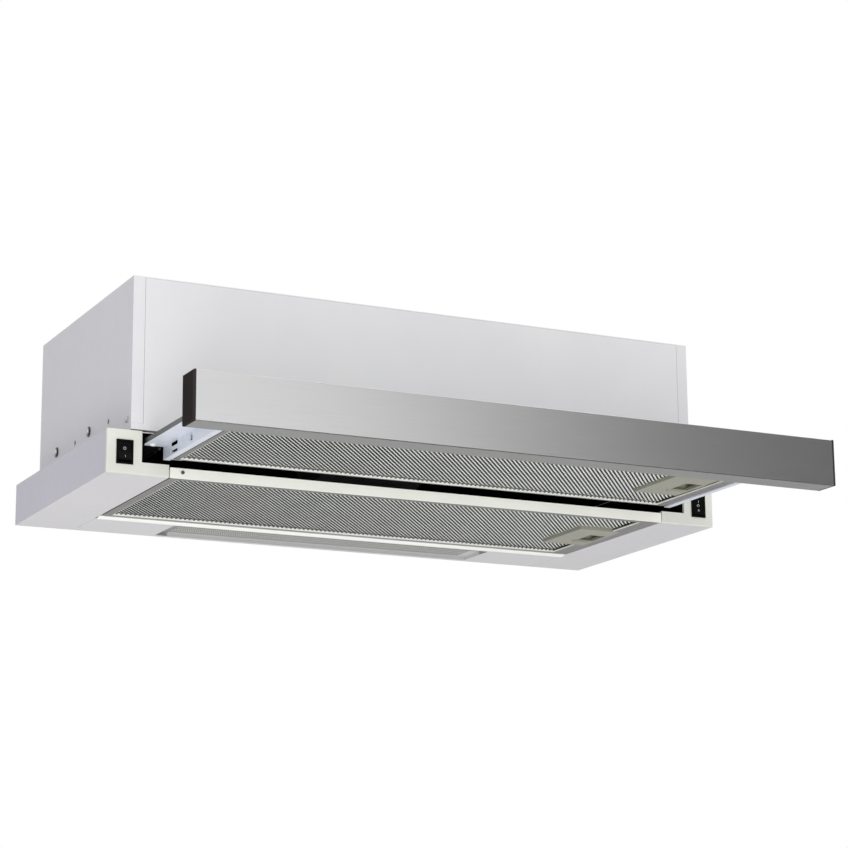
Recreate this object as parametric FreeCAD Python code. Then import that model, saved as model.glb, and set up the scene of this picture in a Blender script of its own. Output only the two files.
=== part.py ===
import FreeCAD, Part
import math
import os

# A slide-out cooker hood for a wall cabinet, in millimetres.
# X runs to the right as seen from the front, Y towards the wall, Z up.
# The origin is the middle of the back face, level with the ledges that meet the cabinet.

Vector = FreeCAD.Vector

# Lower housing and sheet metal
housing_width = 600.0
housing_depth = 256.0
housing_height = 38.0
side_width = 56.5
upstand_height = 10.0
sheet = 1.0
seam = 0.5
seat_gap = 0.3
fit_gap = 0.05
overrun = 4.0

# Upper box that stands inside the cabinet
box_inset = 22.0
box_height = 137.0
box_set_back = 2.5
box_flange = 12.0
front_return = 11.0
front_foot = 7.0
front_lift = 1.5
front_frame = 14.0

# Fixings on the box sides
mount_hole_radius = 2.5
mount_hole_front = 62.0
mount_hole_pitch = 91.0
mount_hole_height = 20.6
side_screw_front = 114.0
side_screw_pitch = 91.0
side_screw_height = 22.7
corner_screw_front = 12.9
corner_screw_height = 12.0
washer_radius = 4.6
washer_thickness = 0.8
screw_head_radius = 3.0
screw_head_height = 1.8
screw_radius = 1.6
screw_length = 8.0
shank_sides = 12
slot_width = 0.9
slot_depth = 0.7

# Front strip under the slide opening
strip_height = 8.8
strip_sheet = 1.2
strip_hem = 2.0
strip_return = 10.0
strip_screw_inset = 11.7
strip_screw_height = 5.2
strip_screw_head = 1.4
strip_notch = 14.0

# End caps at the two front corners
cap_face = 3.0
cap_upright = 31.5
cap_foot = 10.8
cap_plug = 10.0
cap_wall = 1.6
cap_round = 1.0

# Rocker switches
switch_width = 15.0
switch_height = 21.0
switch_inset = 16.0
switch_middle = 18.5
bezel_rim = 1.0
bezel_border = 1.5
bezel_step = 0.7
bezel_depth = 14.0
rocker_gap = 0.25
rocker_half_height = 8.0
rocker_trough = 2.2
rocker_back = 4.0
rocker_pivot_depth = 2.0
rocker_angle = 12.0
rocker_pin_radius = 1.2
rocker_pin_reach = 0.7
terminal_width = 4.8
terminal_thickness = 0.8
terminal_length = 7.0
terminal_pitch = 5.5

# Filters
filter_thickness = 7.0
filter_gap = 2.0
visor_filter_gap = 7.0
filter_skin = 0.8
fixed_left_border = 8.0
fixed_right_border = 15.0
fixed_rear_border = 3.0
visor_left_border = 4.5
visor_right_border = 9.0
visor_rear_border = 2.0
filter_front_border = 6.0
fixed_filter_front = 4.4
fixed_filter_rear = 3.1
visor_filter_front = 5.5
visor_filter_rear = 6.0
filter_round = 1.0
hinge_inset = 4.5
hinge_pin_radius = 1.2
hinge_head_radius = 1.45
hinge_head_length = 1.0
ear_gap = 0.8
ear_reach = 16.0
net_thickness = 1.2
net_tuck = 4.0
net_columns = 24
net_rows = 7
net_width_share = 0.62
net_height_share = 0.66

# Filter latches
latch_width = 44.0
latch_depth = 73.0
latch_wall = 0.8
latch_end_wall = 1.2
latch_slider = 1.2
latch_slider_half = 15.0
latch_tongue_half = 8.0
latch_travel = 4.0
latch_rise = 1.0
latch_window_width = 17.0
latch_window_depth = 30.0
latch_window_side = 3.0
latch_rib_radius = 2.2
latch_rib_drop = 1.2
latch_rib_width = 16.0
latch_grip = 2.0
latch_catch = 2.5
fixed_latch_side = 6.5
fixed_latch_middle = 96.5
visor_latch_side = 14.8
visor_latch_middle = 87.2

# Lamp panel behind the fixed filter
panel_depth = 73.5
bead_width = 12.0
bead_drop = 1.2
lens_width = 330.0
lens_depth = 51.0
lens_back = 6.0
lens_recess = 3.3
lens_ledge = 3.0
lens_end_ledge = 10.0
lens_thickness = 2.0
lens_ribs = 14
lens_rib_height = 0.8
reflector_height = 34.0
reflector_side = 3.0
holder_radius = 13.0
holder_length = 26.0
lamp_radius = 11.0
lamp_length = 60.0
lamp_neck_radius = 7.0
lamp_neck = 16.0

# Ball slides, lying flat under the ledges
slide_inset = 42.0
slide_width = 24.0
slide_height = 10.2
slide_wall = 1.2
slide_lip = 2.2
slide_front = 16.0
slide_back = 10.0
inner_width = 16.0
inner_height = 5.5
inner_front = 3.0
slide_overlap = 68.0
ball_radius = 1.3
ball_gap = 0.1
ball_drop = 7.5
ball_pitch = 13.0
ball_count = 4
cage_sheet = 0.5
cage_length = 48.0
cage_drop = 1.7
cage_skirt = 6.9
cage_front_gap = 2.6
ball_sides = 8
ball_bands = 4
slide_screw_pitch = 100.0
slide_screw_front = 28.0

# Visor: front bar and rails
visor_travel = 171.0
bar_inset = 1.0
bar_height = 41.0
bar_depth = 24.0
bar_lift = 1.0
bar_sheet = 0.8
bar_lip = 14.0
bar_cap = 2.5
bar_plug = 8.0
bar_stop = 4.0
bar_round = 1.2
cross_low = 11.5
cross_high = 36.0
cross_flange = 8.0
cross_reach = 8.0
rail_sheet = 1.2
rail_web_inset = 8.5
rail_flange_reach = 9.5
rail_low = 13.8
rail_lip = 4.8
rail_rear = 3.0
rail_hole = 6.0
rail_slot_length = 17.0
rail_slot_height = 4.0
rail_low_hole = 3.0
rivet_radius = 1.6
rivet_head_radius = 3.2
rivet_head = 1.4
rivet_shift = 4.0
rivet_end = 8.5
visor_screw_shares = (0.4, 0.8)
visor_screw_height = 31.0

# Blower with its motor
scroll_half_width = 50.0
scroll_wall = 2.0
scroll_headroom = 15.0
scroll_growth = 6.0
scroll_rise = 2.0
scroll_back = 128.0
inlet_lip = 6.0
outlet_flange = 62.0
outlet_plate = 2.0
post_side = 56.0
post_radius = 4.0
impeller_gap = 5.0
inlet_overlap = 8.0
blade_depth = 9.0
blade_sweep = 13.0
blade_bulge = 1.8
blade_thickness = 1.2
blade_steps = 4
blade_count = 24
blade_seat = 0.4
impeller_half_width = 41.0
impeller_ring = 2.0
hub_radius = 9.0
hub_half_width = 12.0
hub_disc = 2.0
shaft_radius = 4.0
shaft_end = 6.0
motor_radius = 33.0
motor_corner = 12.0
stator_length = 34.0
stator_bore = 20.0
rotor_gap = 0.5
rotor_end = 3.0
bell_length = 10.0
bell_neck_radius = 10.0
bell_neck = 5.0
bell_wall = 2.0
bell_radius = 30.0
bracket_standoff = 14.0
bracket_sheet = 1.5
bracket_ring = 20.0
bracket_arm = 12.0
grommet_inset = 3.0
bracket_arms = 3
grommet_radius = 5.0

# Outlet collar with its two damper flaps
collar_radius = 60.0
collar_wall = 2.0
collar_rise = 30.0
collar_sink = 22.0
collar_flange = 14.0
collar_flange_thickness = 2.0
collar_seat = 3.0
collar_back = 96.0
flap_gap = 1.0
flap_thickness = 1.2
flap_pin_radius = 1.5
flap_barrel_radius = 2.8
flap_axis_side = 4.5
flap_pin_seat = 1.2

# Electrical pieces inside the box
capacitor_radius = 15.0
capacitor_length = 50.0
capacitor_inset = 138.0
capacitor_front = 38.5
clip_width = 12.0
clip_sheet = 1.0
terminal_box_width = 70.0
terminal_box_depth = 46.0
terminal_box_height = 30.0
terminal_box_inset = 58.0
terminal_box_back = 62.0
terminal_box_wall = 2.0
gland_radius = 8.0
gland_head_radius = 11.0
gland_head = 5.0
gland_sides = 6
gland_bore = 4.5
gland_nut = 4.0

# Places worked out from the sizes above
half_housing = housing_width / 2
half_opening = half_housing - side_width
half_box = half_housing - box_inset
y_front = -housing_depth
y_box = y_front + box_set_back
z_panel = box_height - sheet - fit_gap
z_under = -housing_height
slot_outer = half_housing - cap_upright
switch_side = half_housing - switch_inset
strip_screw_side = half_opening - strip_screw_inset

y_bar_back = y_front - visor_travel - bar_stop
y_bar_front = y_bar_back - bar_depth
z_bar = z_under + bar_lift
half_bar = half_housing - bar_inset

slide_side = half_housing - slide_inset
slide_length = housing_depth - slide_front - slide_back
inner_length = visor_travel + bar_stop - inner_front + slide_overlap
rail_web_side = slide_side - rail_web_inset
rail_flange_side = slide_side + rail_flange_reach
cross_side = slide_side + cross_reach
z_slide = -sheet
z_rail = z_under + rail_low

fixed_half = half_opening - filter_gap
fixed_front = y_front + fixed_filter_front
fixed_bottom = z_under + sheet + seat_gap - latch_rise
fixed_filter_depth = housing_depth - panel_depth - fixed_filter_front - fixed_filter_rear
visor_half = rail_web_side - visor_filter_gap
visor_front = y_bar_back + visor_filter_front
visor_bottom = z_rail + rail_sheet + seat_gap - latch_rise
visor_filter_depth = visor_travel + bar_stop - visor_filter_front - visor_filter_rear
fixed_borders = (fixed_left_border, fixed_right_border, filter_front_border, fixed_rear_border)
visor_borders = (visor_left_border, visor_right_border, filter_front_border, visor_rear_border)

scroll_y = -scroll_back
collar_y = -collar_back
z_outlet = box_height - collar_sink
scroll_radius = (z_outlet - outlet_plate - scroll_rise - scroll_wall - scroll_headroom) / 2
scroll_z = scroll_rise + scroll_wall + scroll_radius + scroll_growth
impeller_radius = scroll_radius - impeller_gap
inlet_radius = impeller_radius - inlet_overlap
bracket_reach = scroll_radius - grommet_inset
x_bracket = -scroll_half_width - scroll_wall - bracket_standoff
x_motor = x_bracket - bracket_sheet
capacitor_x = half_box - capacitor_inset - capacitor_length
capacitor_y = y_box + capacitor_front
terminal_box_x = half_box - terminal_box_inset - terminal_box_width
terminal_box_y = -terminal_box_back


def block(x_low, x_high, y_low, y_high, z_low, z_high):
    return Part.makeBox(x_high - x_low, y_high - y_low, z_high - z_low, Vector(x_low, y_low, z_low))


def rod_x(radius, x_low, x_high, y, z):
    return Part.makeCylinder(radius, x_high - x_low, Vector(x_low, y, z), Vector(1, 0, 0))


def rod_y(radius, y_low, y_high, x, z):
    return Part.makeCylinder(radius, y_high - y_low, Vector(x, y_low, z), Vector(0, 1, 0))


def rod_z(radius, z_low, z_high, x, y):
    return Part.makeCylinder(radius, z_high - z_low, Vector(x, y, z_low), Vector(0, 0, 1))


def flat_sided_rod(sides, radius, z_low, z_high, x, y):
    corners = []
    for index in range(sides):
        turn = 2 * math.pi * index / sides
        corners.append(Vector(x + radius * math.cos(turn), y + radius * math.sin(turn), z_low))
    face = Part.Face(Part.makePolygon(corners + corners[:1]))
    return face.extrude(Vector(0, 0, z_high - z_low))


def prism_x(points, low, high):
    corners = [Vector(low, y, z) for y, z in points]
    face = Part.Face(Part.makePolygon(corners + corners[:1]))
    return face.extrude(Vector(high - low, 0, 0))


def prism_y(points, low, high):
    corners = [Vector(x, low, z) for x, z in points]
    face = Part.Face(Part.makePolygon(corners + corners[:1]))
    return face.extrude(Vector(0, high - low, 0))


def offset_path(points, distance, closed=False):
    """Points moved to the left of their path by a distance, mitred at each corner."""
    count = len(points)
    moved = []
    for index, point in enumerate(points):
        normals = []
        for first, second in ((index - 1, index), (index, index + 1)):
            if not closed and (first < 0 or second >= count):
                continue
            start = points[first % count]
            end = points[second % count]
            length = math.hypot(end[0] - start[0], end[1] - start[1])
            normals.append(((start[1] - end[1]) / length, (end[0] - start[0]) / length))
        if len(normals) == 1:
            normals.append(normals[0])
        blend = 1 + normals[0][0] * normals[1][0] + normals[0][1] * normals[1][1]
        across = (normals[0][0] + normals[1][0]) * distance / blend
        along = (normals[0][1] + normals[1][1]) * distance / blend
        moved.append((point[0] + across, point[1] + along))
    return moved


def folded(points, thickness):
    """Section of a folded sheet whose outer side follows the points, with the sheet on their right."""
    return points + offset_path(points, -thickness)[::-1]


def mirrored(shape):
    return shape.mirror(Vector(0, 0, 0), Vector(1, 0, 0))


def joined(shapes):
    return shapes[0].multiFuse(shapes[1:]).removeSplitter()


def save(name, shapes):
    whole = shapes[0] if len(shapes) == 1 else Part.makeCompound(shapes)
    whole.exportStep("parts/" + name + ".step")
    solids = sum(len(shape.Solids) for shape in shapes)
    valid = all(shape.isValid() for shape in shapes)
    print(name, "solids", solids, "valid", valid, "volume", round(whole.Volume, 1))


def pan_screw(radius, head_radius, head_height, length):
    """Slotted pan-head screw along +Z: the head stands above zero and the shank hangs below it."""
    head = Part.makeCylinder(head_radius, head_height)
    rim = [edge for edge in head.Edges if edge.BoundBox.ZMin > head_height / 2 and edge.Closed]
    head = head.makeChamfer(head_height / 2, rim)
    slot = block(-head_radius, head_radius, -slot_width / 2, slot_width / 2,
                 head_height - slot_depth, head_height + overrun)
    shank = flat_sided_rod(shank_sides, radius, -length, 0, 0, 0)
    return head.cut(slot).fuse(shank)


def turned(shape, direction, place):
    """The shape with its +Z axis turned to a direction and its origin moved to a place."""
    copy = shape.copy()
    rotation = FreeCAD.Rotation(Vector(0, 0, 1), direction)
    copy.Placement = FreeCAD.Placement(place, rotation)
    return copy


# Side members of the lower housing
def side_member():
    """Left member: inner upstand, bottom flange, outer side, ledge and the seat of the box."""
    path = [
        (-half_opening, z_under + upstand_height),
        (-half_opening, z_under),
        (-half_housing, z_under),
        (-half_housing, 0),
        (-half_box, 0),
    ]
    channel = prism_y(folded(path, sheet), y_front + cap_face, 0)
    end = block(-half_housing, -half_opening, -sheet, 0, z_under, -sheet)
    seat = block(-half_box, -half_opening, y_front + cap_face, 0, -sheet, 0)
    for y in slide_screw_places():
        seat = seat.cut(rod_z(screw_radius + fit_gap, -overrun, overrun, -slide_side, y))
    return channel.fuse(end).removeSplitter().fuse(seat)


def slide_screw_places():
    first = y_front + slide_front + slide_screw_front
    return [first, first + slide_screw_pitch]


def hinge_ears(x_pivot, x_root, z_pivot, z_low, z_high, y_low, y_high, thickness):
    """Two ears across the ends of a filter's left side, bored for its hinge pins."""
    bore = rod_y(hinge_pin_radius + fit_gap, y_low - overrun, y_high + overrun, x_pivot, z_pivot)
    ears = []
    for start in (y_low - ear_gap - thickness, y_high + ear_gap):
        ear = block(x_root, x_root + ear_reach, start, start + thickness, z_low, z_high)
        ears.append(ear.cut(bore))
    return ears


def housing_left():
    pivot = hinge_place(fixed_half, fixed_bottom)
    z_low = z_under + strip_sheet + seat_gap
    z_high = z_under + strip_height - strip_sheet - seat_gap
    ears = hinge_ears(pivot[0], -half_opening - seam / 2, pivot[1], z_low, z_high,
                      fixed_front, fixed_front + fixed_filter_depth, sheet)
    screw = strip_screw_hole(screw_radius / 2 + fit_gap)
    return side_member().multiFuse(ears).cut(screw)


def housing_right():
    """Right member, notched where the filter's latch tongue rests on the bottom flange."""
    middle = fixed_latch_y()
    half = latch_tongue_half + seat_gap
    notch = block(half_opening - overrun, half_opening + sheet + overrun,
                  middle - half, middle + half, z_under + sheet, z_under + upstand_height + overrun)
    return mirrored(side_member()).cut(notch)


# End caps and the strip between them
def cap_outline():
    return [
        (-half_housing, z_under),
        (-half_housing, 0),
        (-slot_outer, 0),
        (-slot_outer, z_under + cap_foot),
        (-half_opening - seam, z_under + cap_foot),
        (-half_opening - seam, z_under),
    ]


def end_cap():
    """Moulded cap: a front plate, a hollow plug inside the side member and the switch window."""
    outline = cap_outline()
    y_back = y_front + cap_face
    plate = prism_y(outline, y_front, y_back)
    rounded = []
    for edge in plate.Edges:
        box = edge.BoundBox
        at_front = box.YMax < y_front + fit_gap
        at_side = box.XMax < -half_housing + fit_gap
        at_bottom = box.ZMax < z_under + fit_gap
        if at_front and (at_side or at_bottom):
            rounded.append(edge)
    plate = plate.makeFillet(cap_round, rounded)
    outer = offset_path(outline, -sheet - seat_gap, True)
    inner = offset_path(outline, -sheet - seat_gap - cap_wall, True)
    plug = prism_y(outer, y_back, y_back + cap_plug).cut(prism_y(inner, y_back, y_back + cap_plug))
    half_wide = switch_width / 2 - bezel_step + fit_gap
    half_high = switch_height / 2 - bezel_step + fit_gap
    z_middle = z_under + switch_middle
    window = block(-switch_side - half_wide, -switch_side + half_wide, y_front - overrun, y_back + overrun,
                   z_middle - half_high, z_middle + half_high)
    return joined([plate, plug]).cut(window)


def strip_screw_hole(radius):
    return rod_y(radius, y_front - overrun, y_front + fixed_filter_front,
                 -strip_screw_side, z_under + strip_screw_height)


def front_strip():
    path = [
        (y_front + strip_hem, z_under),
        (y_front, z_under),
        (y_front, z_under + strip_height),
        (y_front + strip_return, z_under + strip_height),
    ]
    strip = prism_x(folded(path, strip_sheet), -half_opening + seam, half_opening - seam)
    notch = block(-half_opening, -half_opening + strip_notch,
                  y_front + strip_sheet, y_front + strip_return + overrun,
                  z_under + strip_height - strip_sheet - overrun, z_under + strip_height + overrun)
    return strip.cut(notch).cut(strip_screw_hole(screw_radius / 2 + fit_gap))


def strip_screw():
    screw = pan_screw(screw_radius / 2, screw_radius, strip_screw_head, strip_sheet + ear_gap + sheet)
    return turned(screw, Vector(0, -1, 0), Vector(-strip_screw_side, y_front, z_under + strip_screw_height))


# Rocker switches
def switch_bezel(side):
    """Rim in front of the cap, body behind it, a well for the rocker and three spade terminals."""
    x = side * switch_side
    z = z_under + switch_middle
    rim = block(x - switch_width / 2, x + switch_width / 2, y_front - bezel_rim, y_front,
                z - switch_height / 2, z + switch_height / 2)
    half_wide = switch_width / 2 - bezel_step
    half_high = switch_height / 2 - bezel_step
    body = block(x - half_wide, x + half_wide, y_front, y_front + bezel_depth, z - half_high, z + half_high)
    well_wide = switch_width / 2 - bezel_border - fit_gap
    well_high = switch_height / 2 - bezel_border
    well = block(x - well_wide, x + well_wide, y_front - bezel_rim - overrun,
                 y_front + bezel_depth - bezel_border, z - well_high, z + well_high)
    bore = rod_x(rocker_pin_radius + fit_gap, x - half_wide, x + half_wide, y_front + rocker_pivot_depth, z)
    blades = []
    for step in (-1, 0, 1):
        z_blade = z + step * terminal_pitch
        blades.append(block(x - terminal_width / 2, x + terminal_width / 2,
                            y_front + bezel_depth, y_front + bezel_depth + terminal_length,
                            z_blade - terminal_thickness / 2, z_blade + terminal_thickness / 2))
    return joined([rim, body] + blades).cut(well).cut(bore)


def rocker(side, angle):
    """Rocker with a shallow V front, turned about its pins by an angle."""
    x = side * switch_side
    z = z_under + switch_middle
    y = y_front + rocker_pivot_depth
    tip = rocker_trough + rocker_half_height * math.tan(math.radians(rocker_angle))
    half_wide = switch_width / 2 - bezel_border - fit_gap - rocker_gap
    profile = [
        (y - rocker_trough, z),
        (y - tip, z + rocker_half_height),
        (y, z + rocker_half_height),
        (y + rocker_back, z + rocker_half_height / 2),
        (y + rocker_back, z - rocker_half_height / 2),
        (y, z - rocker_half_height),
        (y - tip, z - rocker_half_height),
    ]
    body = prism_x(profile, x - half_wide, x + half_wide)
    reach = half_wide + rocker_gap + rocker_pin_reach
    pins = rod_x(rocker_pin_radius, x - reach, x + reach, y, z)
    whole = body.fuse(pins).removeSplitter()
    whole.rotate(Vector(x, y, z), Vector(1, 0, 0), angle)
    return whole


# Filters with their hinge pins and latches
def hinge_place(half, bottom):
    """Centre of a filter's hinge, as X and Z."""
    return (-half + hinge_inset, bottom + filter_thickness / 2)


def fixed_latch_y():
    return y_front + fixed_latch_middle


def visor_latch_y():
    return y_bar_back + visor_latch_middle


def latch_outline(half, side, middle, gap):
    """Low and high X and Y of the latch plate, grown by a gap."""
    x_high = half - side
    return (x_high - latch_width - gap, x_high + gap,
            middle - latch_depth / 2 - gap, middle + latch_depth / 2 + gap)


def tongue_slot(x_low, x_high, middle, bottom):
    half = latch_tongue_half + seat_gap
    return block(x_low, x_high, middle - half, middle + half,
                 bottom + filter_skin, bottom + latch_rise + latch_slider + seat_gap)


def filter_frame(half, front, depth, bottom, borders, side, middle):
    """Rolled aluminium channel round the four sides, open towards the net."""
    back = front + depth
    top = bottom + filter_thickness
    outer = block(-half, half, front, back, bottom, top)
    corners = [edge for edge in outer.Edges if edge.BoundBox.ZLength > filter_thickness / 2]
    outer = outer.makeFillet(filter_round, corners)
    left, right, fore, rear = borders
    opening = block(-half + left, half - right, front + fore, back - rear, bottom - overrun, top + overrun)
    groove = block(-half + filter_skin, half - filter_skin, front + filter_skin, back - filter_skin,
                   bottom + filter_skin, top - filter_skin)
    frame = outer.cut(opening).cut(groove)
    x_low, x_high, y_low, y_high = latch_outline(half, side, middle, fit_gap + fit_gap)
    if x_high > half - right:
        frame = frame.cut(block(x_low, x_high, y_low, y_high, bottom - overrun, top + overrun))
    frame = frame.cut(tongue_slot(x_high, half + overrun, middle, bottom))
    x_pivot, z_pivot = hinge_place(half, bottom)
    frame = frame.cut(rod_y(hinge_pin_radius, front - overrun, back + overrun, x_pivot, z_pivot))
    return frame.removeSplitter()


def hinge_pins(half, front, depth, bottom, thickness):
    """Two headed pins that stand out of the filter's front and rear sides into the ears."""
    x, z = hinge_place(half, bottom)
    reach = ear_gap + thickness + filter_skin
    pins = []
    for wall, way in ((front + filter_skin, -1), (front + depth - filter_skin, 1)):
        root = Vector(x, wall, z)
        pin = Part.makeCylinder(hinge_pin_radius, reach, root, Vector(0, way, 0))
        head = Part.makeCylinder(hinge_head_radius, hinge_head_length, root, Vector(0, -way, 0))
        pins.append(pin.fuse(head))
    return pins


def filter_net(half, front, depth, bottom, borders, side, middle):
    """Expanded net as one holed sheet, tucked into the frame's channel."""
    left, right, fore, rear = borders
    x_low = -half + left
    x_high = half - right
    y_low = front + fore
    y_high = front + depth - rear
    z = bottom + filter_skin
    clear = latch_outline(half, side, middle, net_tuck)
    x_pitch = (x_high - x_low) / net_columns
    y_pitch = (y_high - y_low) / net_rows
    half_wide = x_pitch * net_width_share
    half_high = y_pitch * net_height_share / 2
    lean = x_pitch / 2
    holes = []
    for row in range(net_rows):
        for column in range(net_columns - 1):
            x = x_low + x_pitch * (column + 1)
            y = y_low + y_pitch * (row + 1 / 2)
            if x + half_wide > clear[0] and clear[2] < y + half_high and y - half_high < clear[3]:
                continue
            corners = [
                Vector(x - half_wide / 2 - lean / 2, y - half_high, z),
                Vector(x + half_wide / 2 - lean / 2, y - half_high, z),
                Vector(x + half_wide / 2 + lean / 2, y + half_high, z),
                Vector(x - half_wide / 2 + lean / 2, y + half_high, z),
            ]
            holes.append(Part.makePolygon(corners + corners[:1]))
    left, right, fore, rear = [min(net_tuck, border - filter_skin - seat_gap) for border in borders]
    rim = [
        Vector(x_low - left, y_low - fore, z),
        Vector(x_high + right, y_low - fore, z),
        Vector(x_high + right, y_high + rear, z),
        Vector(x_low - left, y_high + rear, z),
    ]
    face = Part.makeFace([Part.makePolygon(rim + rim[:1])] + holes, "Part::FaceMakerBullseye")
    net = face.extrude(Vector(0, 0, net_thickness))
    x_low, x_high, y_low, y_high = latch_outline(half, side, middle, fit_gap + fit_gap)
    net = net.cut(block(x_low, x_high, y_low, y_high, z - overrun, z + overrun))
    return net.cut(tongue_slot(x_high - overrun, half, middle, bottom))


def latch_plate(half, bottom, side, middle):
    """Moulded latch body: a finger window, a rib beside it and a guide for the slider."""
    x_low, x_high, y_low, y_high = latch_outline(half, side, middle, 0)
    plate = block(x_low, x_high, y_low, y_high, bottom, bottom + filter_thickness - filter_skin)
    z_slider = bottom + latch_wall
    z_guide = bottom + latch_rise + latch_slider + seat_gap
    slider_half = latch_slider_half + seat_gap
    lower = block(x_low + latch_travel, x_high - latch_end_wall, middle - slider_half, middle + slider_half,
                  z_slider, z_guide)
    upper_half = latch_slider_half - latch_grip
    upper = block(x_low + latch_travel, x_high - latch_end_wall, middle - upper_half, middle + upper_half,
                  z_guide, bottom + filter_thickness - filter_skin - latch_wall)
    x_window = x_high - latch_window_side
    window_half = latch_window_depth / 2 - latch_grip
    window = block(x_window - latch_window_width, x_window, middle - window_half, middle + window_half,
                   bottom - overrun, z_slider)
    slot = tongue_slot(x_high - latch_end_wall, x_high + overrun, middle, bottom)
    body = plate.cut(lower).cut(upper).cut(window).cut(slot)
    y_rib = middle + latch_window_depth / 2 + latch_rib_radius
    x_rib = x_window - latch_window_width / 2 - latch_grip
    rib = rod_x(latch_rib_radius, x_rib - latch_rib_width / 2, x_rib + latch_rib_width / 2,
                y_rib, bottom + latch_rib_radius - latch_rib_drop)
    rib = rib.cut(block(x_low, x_high, y_rib - overrun, y_rib + overrun,
                        bottom + latch_wall, bottom + overrun))
    return joined([body, rib])


def latch_slider_piece(half, bottom, side, middle, tip):
    """Sprung slider: a plate with a finger hole and the tongue that rests on the catch."""
    x_low, x_high, y_low, y_high = latch_outline(half, side, middle, 0)
    z_low = bottom + latch_rise
    z_high = z_low + latch_slider
    x_start = x_low + latch_travel + latch_travel + seat_gap
    x_end = x_high - latch_end_wall - seat_gap
    plate = block(x_start, x_end, middle - latch_slider_half, middle + latch_slider_half, z_low, z_high)
    tongue = block(x_end, tip, middle - latch_tongue_half, middle + latch_tongue_half, z_low, z_high)
    bevel = latch_slider / 2
    edges = [edge for edge in tongue.Edges
             if edge.BoundBox.XMin > tip - fit_gap and edge.BoundBox.ZMax < z_low + fit_gap]
    tongue = tongue.makeChamfer(bevel, edges)
    x_window = x_high - latch_window_side
    half_hole = latch_window_depth / 2 - latch_grip - seat_gap
    hole = block(x_window - latch_window_width + latch_grip, x_window - latch_grip,
                 middle - half_hole, middle + half_hole, z_low - overrun, z_high + overrun)
    return joined([plate, tongue]).cut(hole)


# Lamp panel with lens, reflector and lamps
def lens_box(gap):
    """Low and high X and Y of the lens window, grown by a gap."""
    return (-lens_width / 2 - gap, lens_width / 2 + gap, -lens_back - lens_depth - gap, -lens_back + gap)


def lit_window(gap):
    """Low and high X and Y of the hole under the lens, shrunk by a gap."""
    half = lens_width / 2 - lens_end_ledge - gap
    return (-half, half, -lens_back - lens_depth + lens_ledge + gap, -lens_back - lens_ledge - gap)


def lamp_panel():
    """Rear bottom panel: upstands front and rear, a rounded bead and a stepped window for the lens."""
    y_low = -panel_depth
    path = [
        (0, 0),
        (0, z_under),
        (y_low, z_under),
        (y_low, z_under + upstand_height),
    ]
    half = half_opening - seat_gap
    panel = prism_x(folded(path, sheet), -half, half)
    bead_radius = (bead_width * bead_width / 4 + bead_drop * bead_drop) / (bead_drop + bead_drop)
    y_bead = y_low + sheet + bead_width / 2
    z_bead = z_under - bead_drop + bead_radius
    below = block(-half, half, y_low, y_bead + bead_width, z_under - overrun, z_under)
    under = block(-half, half, y_low, y_bead + bead_width, z_under - overrun, z_under + sheet)
    bead = rod_x(bead_radius, -half, half, y_bead, z_bead).common(below)
    x_low, x_high, y_window, y_window_back = lens_box(sheet)
    step = block(x_low, x_high, y_window, y_window_back, z_under, z_under + lens_recess + sheet)
    x_low, x_high, y_window, y_window_back = lens_box(0)
    well = block(x_low, x_high, y_window, y_window_back, z_under - overrun, z_under + lens_recess)
    x_low, x_high, y_window, y_window_back = lit_window(0)
    window = block(x_low, x_high, y_window, y_window_back, z_under - overrun, z_under + upstand_height)
    hollow = rod_x(bead_radius - sheet, -half, half, y_bead, z_bead).common(under)
    return joined([panel, bead, step]).cut(hollow).cut(well).cut(window)


def lamp_lens():
    """Clear lens with light-spreading ribs along its underside."""
    x_low, x_high, y_low, y_high = lens_box(-seam)
    z = z_under + lens_recess + sheet
    rib_low, rib_high, start, end = lit_window(seam)
    pitch = (end - start) / lens_ribs
    profile = [(y_low, z + lens_thickness), (y_low, z), (start, z)]
    for rib in range(lens_ribs):
        profile.append((start + pitch * (rib + 1 / 2), z - lens_rib_height))
        profile.append((start + pitch * (rib + 1), z))
    profile.extend([(y_high, z), (y_high, z + lens_thickness)])
    ribbed = prism_x(profile, rib_low, rib_high)
    plate = block(x_low, x_high, y_low, y_high, z, z + lens_thickness)
    return joined([ribbed, plate])


def lamp_reflector():
    """Folded tray over the lens, standing on the lamp panel, with an end plate for each lamp holder."""
    x_low, x_high, y_low, y_high = lens_box(reflector_side)
    z_low = z_under + sheet
    z_high = z_under + reflector_height
    tray = block(x_low, x_high, y_low, y_high, z_low, z_high)
    hollow = block(x_low + sheet, x_high - sheet, y_low + sheet, y_high - sheet,
                   z_low - overrun, z_high - sheet)
    return tray.cut(hollow)


def lamp_holders():
    x_low, x_high, y_low, y_high = lens_box(reflector_side)
    y = (y_low + y_high) / 2
    z = z_under + reflector_height - sheet - holder_radius - seat_gap
    start = x_low + sheet
    shell = rod_x(holder_radius, start, start + holder_length, y, z)
    socket = rod_x(lamp_neck_radius + seat_gap, start + holder_length - lamp_neck,
                   start + holder_length, y, z)
    holder = shell.cut(socket)
    return [holder, mirrored(holder)]


def lamps():
    x_low, x_high, y_low, y_high = lens_box(reflector_side)
    y = (y_low + y_high) / 2
    z = z_under + reflector_height - sheet - holder_radius - seat_gap
    start = x_low + sheet + holder_length
    neck = rod_x(lamp_neck_radius, start - lamp_neck, start, y, z)
    bulb = rod_x(lamp_radius, start, start + lamp_length, y, z)
    ends = [edge for edge in bulb.Edges if edge.Closed]
    bulb = bulb.makeChamfer(lamp_radius / 2, ends)
    lamp = neck.fuse(bulb)
    return [lamp, mirrored(lamp)]


# Upper box
def side_places(first, pitch):
    return [y_front + first, y_front + first + pitch]


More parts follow.
